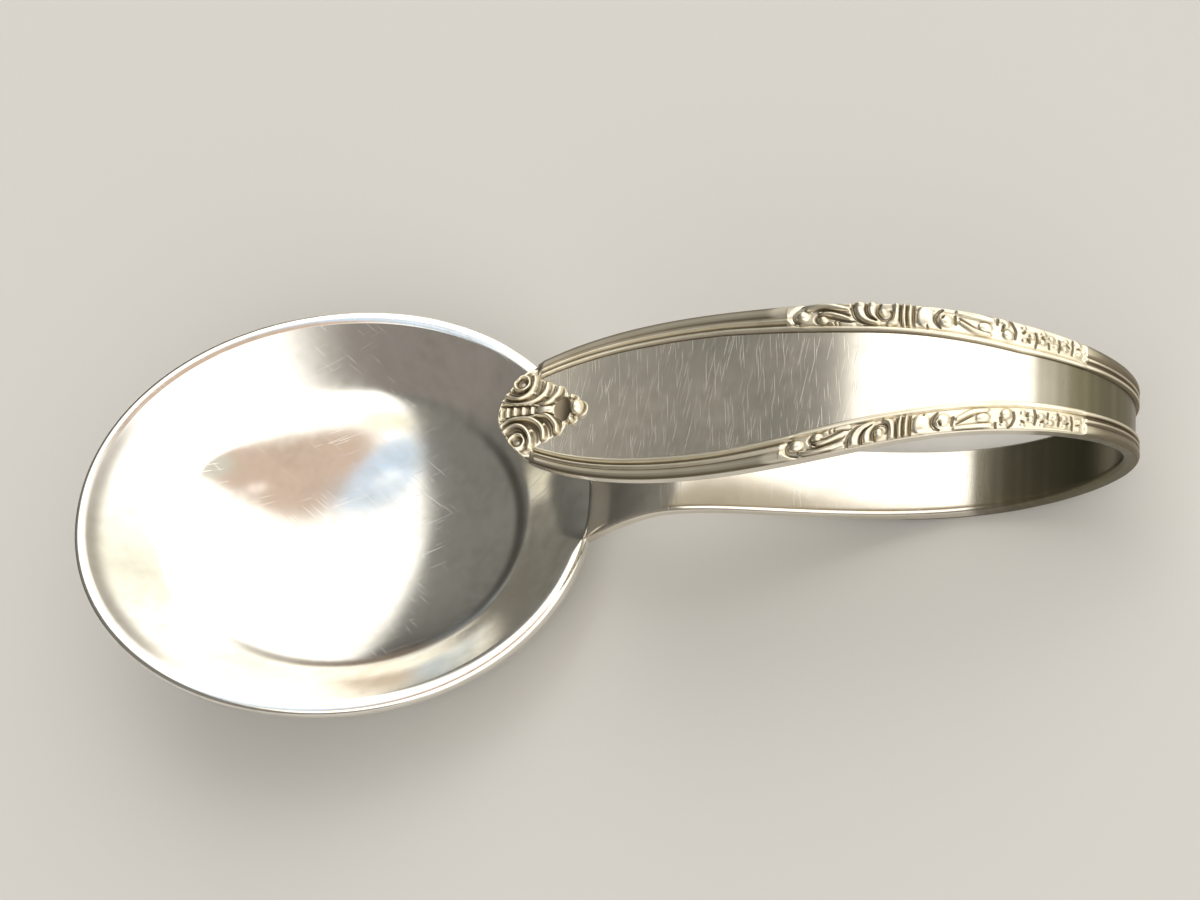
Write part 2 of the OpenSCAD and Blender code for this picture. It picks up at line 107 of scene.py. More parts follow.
bowlShape = {
    "length": 45.0, "width": 36.4, "depth": 7.5, "wall": 0.9,
    "land": 1.2, "edge": 1.2, "edgeRound": 0.42,
    "outlinePower": 2.06, "fuller": 0.02, "undersidePower": 2.8, "footWear": 0.1,
    "wallSlope": 40, "shoulderShare": 0.74, "dishPower": 2.4, "shoulderSoft": 0.25,
    # by the neck the land fades out between these distances from the middle line
    "neckClear": [1.8, 5.2], "landPower": 12, "landLeft": 0.05,
    "around": 480, "inward": 96, "under": 50, "edgeRings": 19,
    # lines of painted shade, dark lines that stand for darker reflections: how much, at which share of the
    # hollow, how wide, towards which side in degrees, and the cosines about that side between which they
    # fade in
    "darkeningAndPaintedShade": [[0.62, 0.715, 0.03, -40, -0.35, 0.45], [0.56, 0.99, 0.045, -168, 0.55, 0.9]],
}


def handleControls():
    # the same nine control points as the solid: place along x, height and width
    h = handleShape
    start = bowlShape["length"] / 2
    tip, loop = start - h["tipOverhang"], start + h["reach"]
    low = [mix(start, loop, share) for share in h["lowerShares"]]
    high = [mix(tip, loop, share) for share in h["upperShares"]]
    lowZ = [h["rise"] * share for share in h["archShares"]]
    lowW = [h["shankWidth"] * share for share in h["shankShares"]]
    fall = [mix(h["tipHeight"], h["loopHeight"], share) for share in h["fallShares"]]
    highW = [h["panelWidth"] * share for share in h["panelShares"]]
    return [[start, 0, h["neckWidth"]],
            [low[1], lowZ[0], lowW[0]], [low[2], lowZ[1], lowW[1]], [low[3], lowZ[2], lowW[2]],
            [loop, h["loopHeight"] * h["bendHeightShare"], lowW[3]],
            [high[0], h["loopHeight"], highW[0]], [high[1], fall[0], highW[1]],
            [high[2], fall[1], highW[2]], [tip, h["tipHeight"], h["tipWidth"]]]


def measureHandle():
    # Tables against the distance from the tip: place, outward direction and half width
    line = splineAt(handleControls(), np.linspace(0, 1, handleShape["lineSteps"]))[::-1]
    steps = np.hypot(np.diff(line[:, 0]), np.diff(line[:, 1]))
    away = np.gradient(line[:, :2], axis=0)
    away /= np.linalg.norm(away, axis=1)[:, None]
    return {"d": np.concatenate([[0], np.cumsum(steps)]), "x": line[:, 0], "z": line[:, 1],
            "outX": -away[:, 1], "outZ": away[:, 0], "half": line[:, 2] / 2}


handleTable = measureHandle()
handleLength = handleTable["d"][-1]
panelEnd = handleLength * handleShape["panelEndShare"]
bendEnd = handleLength * handleShape["bendEndShare"]
shankEnd = handleLength * handleShape["shankEndShare"]


def readHandle(d, key):
    # straight between the rows of a table
    return np.interp(d, handleTable["d"], handleTable[key])


def halfWidth(d):
    # the tip rounds off as a superellipse: half width times sqrt(1 - back^power)
    h = handleShape
    back = 1 - np.clip(np.asarray(d, float) / h["tipRound"], 0, 1)
    return readHandle(d, "half") * np.sqrt(1 - back ** h["tipPower"])


def onHandle(d, y, height):
    # Point at a distance from the tip, across and out from the plate's middle surface
    d, y, height = np.broadcast_arrays(d, y, height)
    return np.stack([readHandle(d, "x") + readHandle(d, "outX") * height, y,
                     readHandle(d, "z") + readHandle(d, "outZ") * height], -1)


def outlineAt(angle, inset, share):
    # superellipse drawn in by inset, a little fuller towards the handle
    b = bowlShape
    power = 2 / b["outlinePower"]
    c, s = np.cos(angle), np.sin(angle)
    along = np.sign(c) * np.abs(c) ** power
    across = np.sign(s) * np.abs(s) ** power
    return ((b["length"] / 2 - inset) * share * along,
            (b["width"] / 2 - inset) * share * across * (1 + b["fuller"] * c))


def hollowZ(share):
    # a shallow dish and a steeper wall, z = the higher of the two, with a soft shoulder between
    b = bowlShape
    rise = (b["length"] / 2 - b["land"]) * math.tan(math.radians(b["wallSlope"]))
    wall = rise * (share - 1)
    meet = b["shoulderShare"]
    dish = -b["depth"] + (b["depth"] + rise * (meet - 1)) * (share / meet) ** b["dishPower"]
    return (dish + wall + np.sqrt((dish - wall) ** 2 + b["shoulderSoft"] ** 2)) / 2


def undersideZ(share):
    # from the deepest point up to the rim's lower edge as share^power
    b = bowlShape
    return -b["edge"] - (b["depth"] + b["wall"] - b["edge"]) * (1 - share ** b["undersidePower"])


# The border's width and height along the handle

borderShape = {
    "start": 2.9, "startShare": 0.05, "height": 0.32, "ramp": 0.5, "coverFade": 0.8,
    "endShare": 0.78, "fadeLeft": 0.15, "drawnIn": 6,
    # its width at distances from the tip, and the most of the plate's half width that it may take
    "widthAt": [0, 3, 6, 12, 18, 22, 25, 28, 40, 45, 50, 60, 100],
    "widths": [1.3, 1.45, 1.55, 1.75, 1.85, 2.05, 2.2, 2.3, 2.3, 2.0, 1.7, 1.5, 1.5],
    "most": 0.55, "across": 56, "step": 0.12, "softening": 0.7, "tuck": [0.02, 0.04], "tuckDepth": 0.05,
    "scrollFrom": 23.35, "scrollTo": 44.9, "change": 0.25, "curve": [0.6, 1.0, 0.75],
    # the outer bead before the scrolls is drawn darker, and the whole border round the bend too, as
    # painted shade
    "hollowReach": 7, "hollowGain": 1.5, "beadDarkening": 0.58, "beadShare": 0.46, "beadEdge": 0.06,
    "beadClear": 0.5, "beadFade": 1.5, "bendPaintedShade": 0.75, "bendFrom": 43, "bendFade": 4,
    # share of the width in from the edge, and share of the height: bead, thin reed, inner reed
    "reeds": [[0, 0.3], [0.04, 0.6], [0.12, 0.85], [0.22, 0.95], [0.34, 0.88], [0.42, 0.6], [0.46, 0.4],
              [0.5, 0.66], [0.55, 0.95], [0.6, 0.88], [0.64, 0.5], [0.68, 0.12], [0.73, 0.05],
              [0.77, 0.45], [0.82, 0.9], [0.88, 1], [0.93, 0.8], [0.97, 0.35], [1, 0]],
    "ground": [[0, 0.2], [0.03, 0.4], [0.06, 0.42], [0.1, 0.25], [0.16, 0.12], [0.72, 0.1], [0.76, 0.06],
               [0.8, 0.6], [0.86, 0.95], [0.91, 1], [0.95, 0.85], [0.98, 0.5], [1, 0]],
}
borderEnd = handleLength * borderShape["endShare"]


def borderWidth(d):
    # the table's width, but never more than a share of the plate's half width
    b = borderShape
    return np.minimum(np.interp(d, b["widthAt"], b["widths"]), b["most"] * halfWidth(d))


def borderHeight(d):
    # one height, ramped in by the tip and smoothly lowered past the bend
    b = borderShape
    fade = mix(b["fadeLeft"], 1, ease((borderEnd - d) / (borderEnd - bendEnd)))
    return b["height"] * fade * ease((d - b["start"]) / b["ramp"] + b["startShare"])


def pastReeds(d, share):
    # the reeds end on a parabola, under the groove round the first knob: distance past it
    bow, middle, reach = borderShape["curve"]
    return d - borderShape["scrollFrom"] - bow * ((share * borderWidth(d) - middle) / reach) ** 2


def moulding(d, share):
    # Height of the reeds, or of the plain ground where the scrolls stand: two profiles over
    # the border's width, each times the border's height, with a smooth step from one to the other
    b = borderShape
    reeds = np.interp(share, *np.transpose(b["reeds"]))
    ground = np.interp(share, *np.transpose(b["ground"]))
    scrolled = ease(pastReeds(d, share) / b["change"] + 0.5)
    scrolled = scrolled * ease((b["scrollTo"] - d) / b["change"] + 0.5)
    return borderHeight(d) * mix(reeds, ground, scrolled)


def underBorder(d):
    # 1 where the border hides the plate's edge, fading out before the border ends
    return ease((borderEnd - d) / borderShape["drawnIn"])


def outerFace():
    return handleShape["thickness"] / 2


# How the spoon rests: under the bowl and under the far end of the loop

restSteps = {"bowl": 400, "heel": 1200, "across": 60}


def restingPose():
    # The line that touches both profiles from below: the least slope of the steepest lines
    b, steps = bowlShape, restSteps
    share = np.linspace(0.01, 0.99, steps["bowl"])
    bowlX, bowlZ = b["length"] / 2 * share, undersideZ(share) + b["footWear"]
    d = np.linspace(panelEnd, shankEnd, steps["heel"])
    across = np.linspace(0, 1, steps["across"])
    bead = np.array([moulding(v, across).max() for v in d]) * (d < borderEnd)
    heel = onHandle(d, 0, outerFace() + bead)
    rise = (heel[:, None, 2] - bowlZ[None]) / (heel[:, None, 0] - bowlX[None])
    steepest = rise.max(axis=1)
    low = steepest.argmin()
    foot = rise[low].argmax()
    return math.atan(steepest[low]), bowlX[foot], bowlZ[foot]


restPitch, footX, footZ = restingPose()
print("rest pitch %.2f degrees" % math.degrees(restPitch))


def settle(points):
    # to the frame's metres; what would lie under the table is worn off level with it
    x, z = points[..., 0] - footX, points[..., 2] - footZ
    c, s = math.cos(restPitch), math.sin(restPitch)
    settled = np.stack([x * c + z * s, points[..., 1], np.maximum(z * c - x * s, 0)], -1)
    return settled / 1000


# Meshes from grids of points

def ringQuads(rows, columns, closed):
    # quads of a grid, whose last column joins the first where it is closed
    i = np.arange(rows - 1)[:, None] * columns
    j = np.arange(columns if closed else columns - 1)[None, :]
    k = (j + 1) % columns
    return np.stack([i + j, i + k, i + columns + k, i + columns + j], -1).reshape(-1, 4)


def endCaps(rows, columns):
    # the polygons that close a tube: its first ring turned round, and its last
    return [np.arange(columns)[::-1], np.arange(columns) + (rows - 1) * columns]


def quadVolume(points, quads):
    # six times the volume inside, from the two triangles of each quad
    a, b, c, d = (points[quads[:, n]] for n in range(4))
    return np.einsum("ij,ij->", a, np.cross(b, c)) + np.einsum("ij,ij->", a, np.cross(c, d))


def buildPiece(name, points, quads, polygons, material, nodes, hollow=None, normals=None):
    # One mesh: quads first, then a few polygons that close it; turned outwards if need be
    flat = settle(points.reshape(-1, 3))
    volume = quadVolume(flat, quads)
    for polygon in polygons:
        p = flat[polygon]
        volume += np.einsum("ij,ij->", np.broadcast_to(p[0], p[1:-1].shape), np.cross(p[1:-1], p[2:]))
    if volume < 0:
        quads = quads[:, ::-1]
        polygons = [polygon[::-1] for polygon in polygons]
    mesh = bpy.data.meshes.new(name)
    mesh.from_pydata(flat.tolist(), [], quads.tolist() + [list(map(int, p)) for p in polygons])
    mesh.validate()
    mesh.polygons.foreach_set("use_smooth", np.ones(len(mesh.polygons), bool))
    if normals is not None:
        setNormals(mesh, normals.reshape(-1, 3) * (-1 if volume < 0 else 1), len(quads))
    # the hollow attribute mixes in the dark colour: patina in hollows, painted shade in some places
    values = np.zeros(len(flat)) if hollow is None else hollow.reshape(-1)
    mesh.attributes.new("hollow", "FLOAT", "POINT").data.foreach_set("value", values.astype(np.float32))
    mesh.materials.append(material)
    piece = bpy.data.objects.new(name, mesh)
    bpy.context.scene.collection.objects.link(piece)
    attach(piece, "root")
    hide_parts(*nodes)
    print("%s: %d faces" % (name, len(mesh.polygons)))
    return piece


def setNormals(mesh, normals, quadCount):
    # The grid's own normals on its quads, and flat ones on the polygons that close it
    corners = np.zeros(len(mesh.loops), np.int32)
    mesh.loops.foreach_get("vertex_index", corners)
    wanted = normals[corners]
    for polygon in mesh.polygons[quadCount:]:
        wanted[polygon.loop_start:polygon.loop_start + polygon.loop_total] = polygon.normal
    mesh.normals_split_custom_set(wanted.tolist())


def turnNormals(normals):
    # the directions of settle(), without its shift
    c, s = math.cos(restPitch), math.sin(restPitch)
    x, z = normals[..., 0], normals[..., 2]
    return np.stack([x * c + z * s, normals[..., 1], z * c - x * s], -1)


# Materials

def toLinear(hexColour):
    # sRGB hex to the linear values that Blender's sockets hold
    parts = [int(hexColour[i:i + 2], 16) / 255 for i in (1, 3, 5)]
    return [p / 12.92 if p <= 0.04045 else ((p + 0.055) / 1.055) ** 2.4 for p in parts] + [1]


def addNode(tree, kind, settings=None, **inputs):
    # One node: settings are its properties, and inputs are its sockets by name or "at" number.
    # An input is a value, a socket, or a node, whose first output is linked.
    node = tree.nodes.new(kind)
    for key, value in (settings or {}).items():
        setattr(node, key, value)
    for key, value in inputs.items():
        socket = node.inputs[int(key[2:]) if key.startswith("at") else key.replace("_", " ")]
        if isinstance(value, bpy.types.Node):
            value = value.outputs[0]
        if isinstance(value, bpy.types.NodeSocket):
            tree.links.new(value, socket)
        else:
            socket.default_value = value
    return node


def newMaterial(name):
    # a material with an empty node tree
    material = bpy.data.materials.new(name)
    material.use_nodes = True
    tree = material.node_tree
    tree.nodes.clear()
    return material, tree


def between(ends):
    # the two values between which a Map Range node's input runs
    return {"at1": ends[0], "at2": ends[1]}


# settings that several nodes share
smooth = {"interpolation_type": "SMOOTHSTEP"}
colours = {"data_type": "RGBA"}
times = {"operation": "MULTIPLY"}
dotted = {"operation": "DOT_PRODUCT"}

# Real scratches are finer than the picture can show, so these are drawn coarser, 0.09 mm wide.
# Each "At" pair gives the two levels of the noise, or of the hollow, between which it comes in.
silverFinish = {
    "scratchWidth": 0.09, "scratchLength": 3.6, "scratchBump": 0.12, "scratchDepth": 0.02,
    "scratchEdge": 0.06, "patch": 5.5, "spot": 1.3, "patchAt": [0.4, 0.62], "patchLeast": 0.1,
    "spotAt": [0.36, 0.72], "spotLeast": 0.45, "roughAt": [0.3, 0.75],
    "patinaAndPaintedShadeAt": [0.05, 0.7], "patinaAndPaintedShadeRough": 0.12,
    # the bowl, buffed like a mirror: clear reflections and fine lines that cross; its dark colour is
    # painted shade, in lines by the shoulder and the far end's land
    "polished": {"silver": "#F8F5EE", "dull": "#BFBBAD", "rough": 0.09, "spread": 0.1, "dullest": 0.42,
                 "turns": [20, 140], "scratched": 0.3, "patinaAndPaintedShade": 0.75, "patinaAndPaintedShadeColour": "#4A4033"},
    # the handle, worn soft by hands: blurred reflections, and an olive grey where it is drawn darker, as
    # painted shade round the bend and in the neck's crease
    "handle": {"silver": "#F1EBDF", "dull": "#BDB29F", "rough": 0.14, "spread": 0.08, "dullest": 0.4,
               "turns": [80, 96], "scratched": 0.33, "patinaAndPaintedShade": 1.0, "patinaAndPaintedShadeColour": "#706B57"},
    # the struck ornament, which polishing can't reach into: satin crests over brown hollows; round the
    # bend its dark colour is painted shade
    "relief": {"silver": "#F0E8D4", "dull": "#C2B597", "rough": 0.27, "spread": 0.08, "dullest": 0.5,
               "turns": [40], "scratched": 0.28, "patinaAndPaintedShade": 0.85, "patinaAndPaintedShadeColour": "#54462F"},
}


def scratches(tree, place, turn, amount):
    # Fine lines: noise drawn out along one direction, cut to its thin crests
    f = silverFinish
    long, thin = f["scratchLength"] / 1000, f["scratchWidth"] / 1000
    scaled = addNode(tree, "ShaderNodeMapping", {"vector_type": "TEXTURE"}, Vector=place,
                     Rotation=(0, 0, math.radians(turn)), Scale=(long, thin, long))
    noise = addNode(tree, "ShaderNodeTexNoise", Vector=scaled, Scale=1.0, Detail=1.0)
    return addNode(tree, "ShaderNodeMapRange", Value=noise,
                   **between([1 - amount, 1 - amount + f["scratchEdge"]]))


def silverMaterial(name, look):
    # Sterling silver, struck in a die and polished by hand: pale warm metal with clear
    # reflections, dulled in soft patches and small spots. Fine scratches spread its highlights,
    # and a dark colour comes in by the hollow attribute: patina in hollows, and painted shade elsewhere.
    f = silverFinish
    material, tree = newMaterial(name)
    place = addNode(tree, "ShaderNodeTexCoord").outputs["Object"]
    patches = addNode(tree, "ShaderNodeTexNoise", Vector=place, Scale=1000 / f["patch"],
                      Detail=3.0, Roughness=0.6)
    spots = addNode(tree, "ShaderNodeTexNoise", Vector=place, Scale=1000 / f["spot"], Detail=1.0)
    dull = addNode(tree, "ShaderNodeMapRange", Value=patches, **between(f["patchAt"]),
                   at3=f["patchLeast"], at4=look["dullest"])
    specks = addNode(tree, "ShaderNodeMapRange", Value=spots, **between(f["spotAt"]),
                     at3=f["spotLeast"], at4=1.0)
    worn = addNode(tree, "ShaderNodeMath", times, at0=dull, at1=specks)
    colour = addNode(tree, "ShaderNodeMix", colours, at0=worn, at6=toLinear(look["silver"]),
                     at7=toLinear(look["dull"])).outputs[2]
    layers = [scratches(tree, place, turn, look["scratched"]) for turn in look["turns"]]
    lines = layers[0]
    for layer in layers[1:]:
        lines = addNode(tree, "ShaderNodeMath", {"operation": "MAXIMUM"}, at0=lines, at1=layer)
    roughness = addNode(tree, "ShaderNodeMapRange", Value=patches, **between(f["roughAt"]),
                        at3=look["rough"], at4=look["rough"] + look["spread"])
    # the hollow attribute: patina in real hollows, and painted shade where darker reflections are drawn
    # into the colour
    hollow = addNode(tree, "ShaderNodeAttribute", {"attribute_name": "hollow"}).outputs["Fac"]
    patinaAndPaintedShade = addNode(tree, "ShaderNodeMapRange", smooth, Value=hollow, **between(f["patinaAndPaintedShadeAt"]),
                     at3=0.0, at4=look["patinaAndPaintedShade"])
    colour = addNode(tree, "ShaderNodeMix", colours, at0=patinaAndPaintedShade, at6=colour,
                     at7=toLinear(look["patinaAndPaintedShadeColour"])).outputs[2]
    roughness = addNode(tree, "ShaderNodeMath", {"operation": "MULTIPLY_ADD"}, at0=patinaAndPaintedShade,
                        at1=f["patinaAndPaintedShadeRough"], at2=roughness)
    bump = addNode(tree, "ShaderNodeBump", Strength=f["scratchBump"],
                   Distance=f["scratchDepth"] / 1000, Height=lines)
    shader = addNode(tree, "ShaderNodeBsdfPrincipled", Base_Color=colour, Metallic=1.0,
                     Roughness=roughness, Normal=bump)
    addNode(tree, "ShaderNodeOutputMaterial", Surface=shader)
    return material


polishedSilver = silverMaterial("polished silver", silverFinish["polished"])
handleSilver = silverMaterial("handle silver", silverFinish["handle"])
reliefSilver = silverMaterial("relief silver", silverFinish["relief"])
print("materials made")


# The plate of the handle, in four stretches

plateGrid = {"across": 44, "side": 4, "panelStep": 0.18, "bendStep": 0.16, "shankStep": 0.2,
             "neckStep": 0.1, "neckSink": 0.25, "neckTop": -0.02,
             "tipRows": 26, "tipFrom": math.radians(4),
             "streaks": [[2.3, 0], [1.3, 1], [0.83, 2]], "streaky": 0.02, "cleanTo": 36, "cleanFade": 4,
             # how much darker the silver is drawn, by distance from the tip: a little on the panel, and
             # most of all round the bend and in the crease where the neck meets the bowl, where it is
             # painted shade for darker reflections
             "darkeningAndPaintedShade": [[0, 0.3], [16, 0.3], [26, 0.05], [40.2, 0.03], [41.6, 0.46], [45, 0.62],
                         [60, 0.7], [65, 0.62], [67.8, 0.5], [69, 0.03],
                         [handleLength - 0.7, 0.03], [handleLength - 0.3, 0.7]]}


def edgeDistance(d, y):
    # How far a point lies in from the plate's outline, which is a superellipse round the tip:
    # (1 - q) over the slope of q, where q is 1 on the outline
    h = handleShape
    half = readHandle(d, "half")
    back = np.clip(1 - d / h["tipRound"], 0, 1)
    q = np.sqrt(back ** h["tipPower"] + (y / half) ** 2) + 1e-9
    slopeAlong = h["tipPower"] / 2 * back ** (h["tipPower"] - 1) / h["tipRound"] / q
    slope = np.hypot(slopeAlong, y / half ** 2 / q)
    return np.clip((1 - q) / (slope + 1e-9), 0, None)


def roundTip(first, rows):
    # distances from the tip that crowd towards it, radius times (1 - cos turn)
    return handleShape["tipRound"] * (1 - np.cos(np.linspace(first, math.pi / 2, rows)))


def acrossPlate():
    # places across the plate, sin t from -1 to 1, which crowd towards its edges
    return np.sin(np.linspace(-math.pi / 2, math.pi / 2, plateGrid["across"]))[None, :]


def roundedDrop(inward, radius):
    # a quarter circle along an edge: how far the face has dropped
    return radius - np.sqrt(np.clip(radius ** 2 - np.clip(radius - inward, 0, None) ** 2, 0, None))


def goRound(outer, inner):
    # rows that run across the outer face, down one side, back across the inner face and up
    side = np.linspace(0, 1, plateGrid["side"] + 2)[1:-1]
    return np.concatenate([outer, mix(outer[:, -1:], inner[:, -1:], side), inner[:, ::-1],
                           mix(inner[:, :1], outer[:, :1], side)], axis=1)


def plateRings(d):
    # Cross sections with rounded edges, which stay sharp where a border covers them
    h = handleShape
    d = d[:, None]
    y = acrossPlate() * halfWidth(d)
    inward = edgeDistance(d, y)
    covered = underBorder(d) * ease((d - borderShape["start"]) / borderShape["coverFade"])
    outer = h["thickness"] / 2 - roundedDrop(inward, mix(h["outerRound"], h["hiddenRound"], covered))
    inner = -h["thickness"] / 2 + roundedDrop(inward, h["innerRound"])
    return onHandle(d, goRound(y, y), goRound(outer, inner))


def gridNormals(points):
    # Normals of a grid that is closed across: the cross product of its two directions
    along = np.gradient(points, axis=0)
    across = np.roll(points, -1, axis=1) - np.roll(points, 1, axis=1)
    normals = np.cross(across, along)
    return normals / (np.linalg.norm(normals, axis=2)[..., None] + 1e-12)


def neckRings(d):
    # The handle's own rings, blended into a ring along the bowl's upright rim edge
    g, h, b = plateGrid, handleShape, bowlShape
    own = plateRings(d)
    reach = (d - shankEnd) / (handleLength - shankEnd)
    y = acrossPlate() * h["neckWidth"] / 2
    share = np.clip(np.abs(y) / (b["width"] / 2) / (1 + b["fuller"]), 0, 1)
    x, y = outlineAt(np.arcsin(share ** (b["outlinePower"] / 2)) * np.sign(y), g["neckSink"], 1)
    z = goRound(np.full(x.shape, -b["edge"]), np.full(x.shape, g["neckTop"]))
    rim = np.stack([goRound(x, x), goRound(y, y), z], -1)
    return mix(own, rim, ease(reach)[:, None, None])


def plateStops():
    g, h = plateGrid, handleShape
    tip = roundTip(g["tipFrom"], g["tipRows"])

    def even(start, end, step):
        return np.linspace(start, end, int((end - start) / step) + 2)
    return [("panel", np.concatenate([tip, even(h["tipRound"], panelEnd, g["panelStep"])[1:]])),
            ("bend", even(panelEnd, bendEnd, g["bendStep"])),
            ("shank", even(bendEnd, shankEnd, g["shankStep"])),
            ("neck", even(shankEnd, handleLength, g["neckStep"]))]


def plateDarkeningAndPaintedShade(d, columns):
    # streaks run across the plate: a sum of sin(2 pi d / length + start)
    g = plateGrid
    streaks = sum(np.sin(2 * math.pi * d / length + start) for length, start in g["streaks"])
    # painted shade round the bend and in the neck's crease, and a plain darkening on the panel, from one
    # table
    darkeningAndPaintedShade = np.interp(d, *np.transpose(g["darkeningAndPaintedShade"])) * (1 + g["streaky"] * streaks)
    # on the panel only the outer face is drawn darker; the panel's underside stays clean
    faceUp = (np.arange(columns) < g["across"])[None, :]
    return darkeningAndPaintedShade[:, None] * mix(faceUp, 1, ease((d[:, None] - g["cleanTo"]) / g["cleanFade"]))


def buildPlate():
    # One long grid, so that neighbouring stretches share rings and normals where they meet
    stops = plateStops()
    rings = [neckRings(d) if name == "neck" else plateRings(d) for name, d in stops]
    whole = np.concatenate([rings[0]] + [ring[1:] for ring in rings[1:]])
    normals = turnNormals(gridNormals(whole))
    first = 0
    for name, d in stops:
        last = first + len(d)
        size = len(d), whole.shape[1]
        buildPiece("handle_" + name, whole[first:last], ringQuads(*size, True), endCaps(*size),
                   handleSilver, [name], hollow=plateDarkeningAndPaintedShade(d, size[1]),
                   normals=normals[first:last])
        first = last - 1


buildPlate()


# The bowl: hollow, land, rounded rim edge and underside, as rings round two poles

def bowlGrid():
    # angles round the bowl, and shares out from its middle, sin t, which crowd towards the rim
    b = bowlShape
    return (np.linspace(0, 2 * math.pi, b["around"], endpoint=False)[None, :],
            np.sin(np.linspace(0, math.pi / 2, b["inward"]))[1:, None])


def bowlRings():
    # Superellipses at growing shares of the hollow, half a turn round the rim's edge, and
    # superellipses at falling shares of the underside
    b = bowlShape
    angle, share = bowlGrid()
    rimX, rimY = outlineAt(angle, 0, 1)
    low, high = b["neckClear"]
    byNeck = (1 - ease((np.abs(rimY) - low) / (high - low))) * (rimX > 0)
    land = b["land"] * (1 - byNeck) + b["landLeft"] * byNeck
    # the land narrows by the neck without pulling the middle of the hollow along
    inX, inY = outlineAt(angle, mix(b["land"], land, share ** b["landPower"]), share)
    hollow = np.stack([inX, inY, np.broadcast_to(hollowZ(share), inX.shape)], -1)
    turn = np.radians(np.linspace(90, -90, b["edgeRings"]))[:, None]
    radius = b["edge"] / 2
    reach = min(b["edgeRound"], radius)
    outX, outY = outlineAt(angle, reach * (1 - np.cos(turn)), 1)
    edgeZ = -radius + (radius - reach) * np.sign(np.sin(turn)) + reach * np.sin(turn)
    edge = np.stack([outX, outY, np.broadcast_to(edgeZ, outX.shape)], -1)
    shareUnder = np.cos(np.linspace(0, math.pi / 2, b["under"]))[1:-1, None]
    lowX, lowY = outlineAt(angle, reach, 1)
    under = np.stack([lowX * shareUnder, lowY * shareUnder,
                      np.broadcast_to(undersideZ(shareUnder), (len(shareUnder), b["around"]))], -1)
    return np.concatenate([hollow, edge, under])


def buildBowl():
    rings = bowlRings()
    rows, columns = rings.shape[:2]
    points = np.concatenate([rings.reshape(-1, 3), [[0, 0, hollowZ(0.0)], [0, 0, undersideZ(0.0)]]])
    quads = ringQuads(rows, columns, True)
    j = np.arange(columns)
    k = (j + 1) % columns
    top, bottom = rows * columns, rows * columns + 1
    last = (rows - 1) * columns
    fans = [np.array([top, b, a]) for a, b in zip(j, k)]
    fans += [np.array([bottom, last + a, last + b]) for a, b in zip(j, k)]
    # painted shade: dark lines in the shoulder, from the neck round the near side, and under the far end's
    # land, standing for darker reflections
    angle, share = bowlGrid()
    lines = sum(much * np.exp(-((share - at) / wide) ** 2)
                * ease((np.cos(angle - math.radians(towards)) - low) / (high - low))
                for much, at, wide, towards, low, high in bowlShape["darkeningAndPaintedShade"])
    hollow = np.zeros(len(points))
    hollow[:lines.size] = lines.ravel()
    buildPiece("bowl_body", points, quads, fans, polishedSilver, ["bowl"],
               hollow=hollow)


buildBowl()


# Borders

def buildBorder(side, name, node):
    # A moulding carried along the plate's edge, closed underneath just inside the plate
    b = borderShape
    d = np.linspace(b["start"], borderEnd, int((borderEnd - b["start"]) / b["step"]))[:, None]
    share = np.linspace(0, 1, b["across"])[None, :]
    heights = blur(moulding(d, share), 0, b["softening"])
    # near its end the border draws in, to stay off the plate's rounded edge
    drawnIn = handleShape["outerRound"] * (1 - underBorder(d)) * (1 - share)
    y = halfWidth(d) - borderWidth(d) * share - drawnIn
    base = outerFace()
    under = np.concatenate([y[:, -1:] + b["tuck"][0], y[:, :1] - b["tuck"][1]], axis=1)
    places = np.concatenate([y, under], axis=1) * side
    rise = np.concatenate([base + heights, np.full((len(d), 2), base - b["tuckDepth"])], axis=1)
    points = onHandle(d, places, rise)
    size = points.shape[:2]
    hollow = (blur(heights, 0, b["hollowReach"]) - heights) / b["height"] * b["hollowGain"]
    # the outer bead before the scrolls is drawn darker
    onBead = ease((b["beadShare"] - share) / b["beadEdge"])
    hollow += b["beadDarkening"] * ease((b["scrollFrom"] - b["beadClear"] - d) / b["beadFade"]) * onBead
    # painted shade: the border round the bend is drawn darker, for its darker reflection
    hollow += b["bendPaintedShade"] * ease((d - b["bendFrom"]) / b["bendFade"])
    hollow = np.concatenate([hollow, np.zeros((len(d), 2))], axis=1)
    buildPiece(name, points, ringQuads(*size, True), endCaps(*size), reliefSilver, [node],
               hollow=hollow)


buildBorder(-1, "near_reeds", "near_border")
buildBorder(1, "far_reeds", "far_border")


# Raised ornament: strokes are lines of points, each with its half width and height

def smoothStroke(rows, steps=6):
    # Catmull-Rom through the listed points
    p = np.asarray(rows, float)
    p = np.concatenate([[2 * p[0] - p[1]], p, [2 * p[-1] - p[-2]]])
    t = np.linspace(0, 1, steps, endpoint=False)[:, None]
    parts = []
    for a, b, c, e in zip(p, p[1:], p[2:], p[3:]):
        bent, twisted = 2 * a - 5 * b + 4 * c - e, 3 * b - a - 3 * c + e
        parts.append(0.5 * (2 * b + (c - a) * t + bent * t ** 2 + twisted * t ** 3))
    return np.concatenate(parts + [p[-2:-1]])


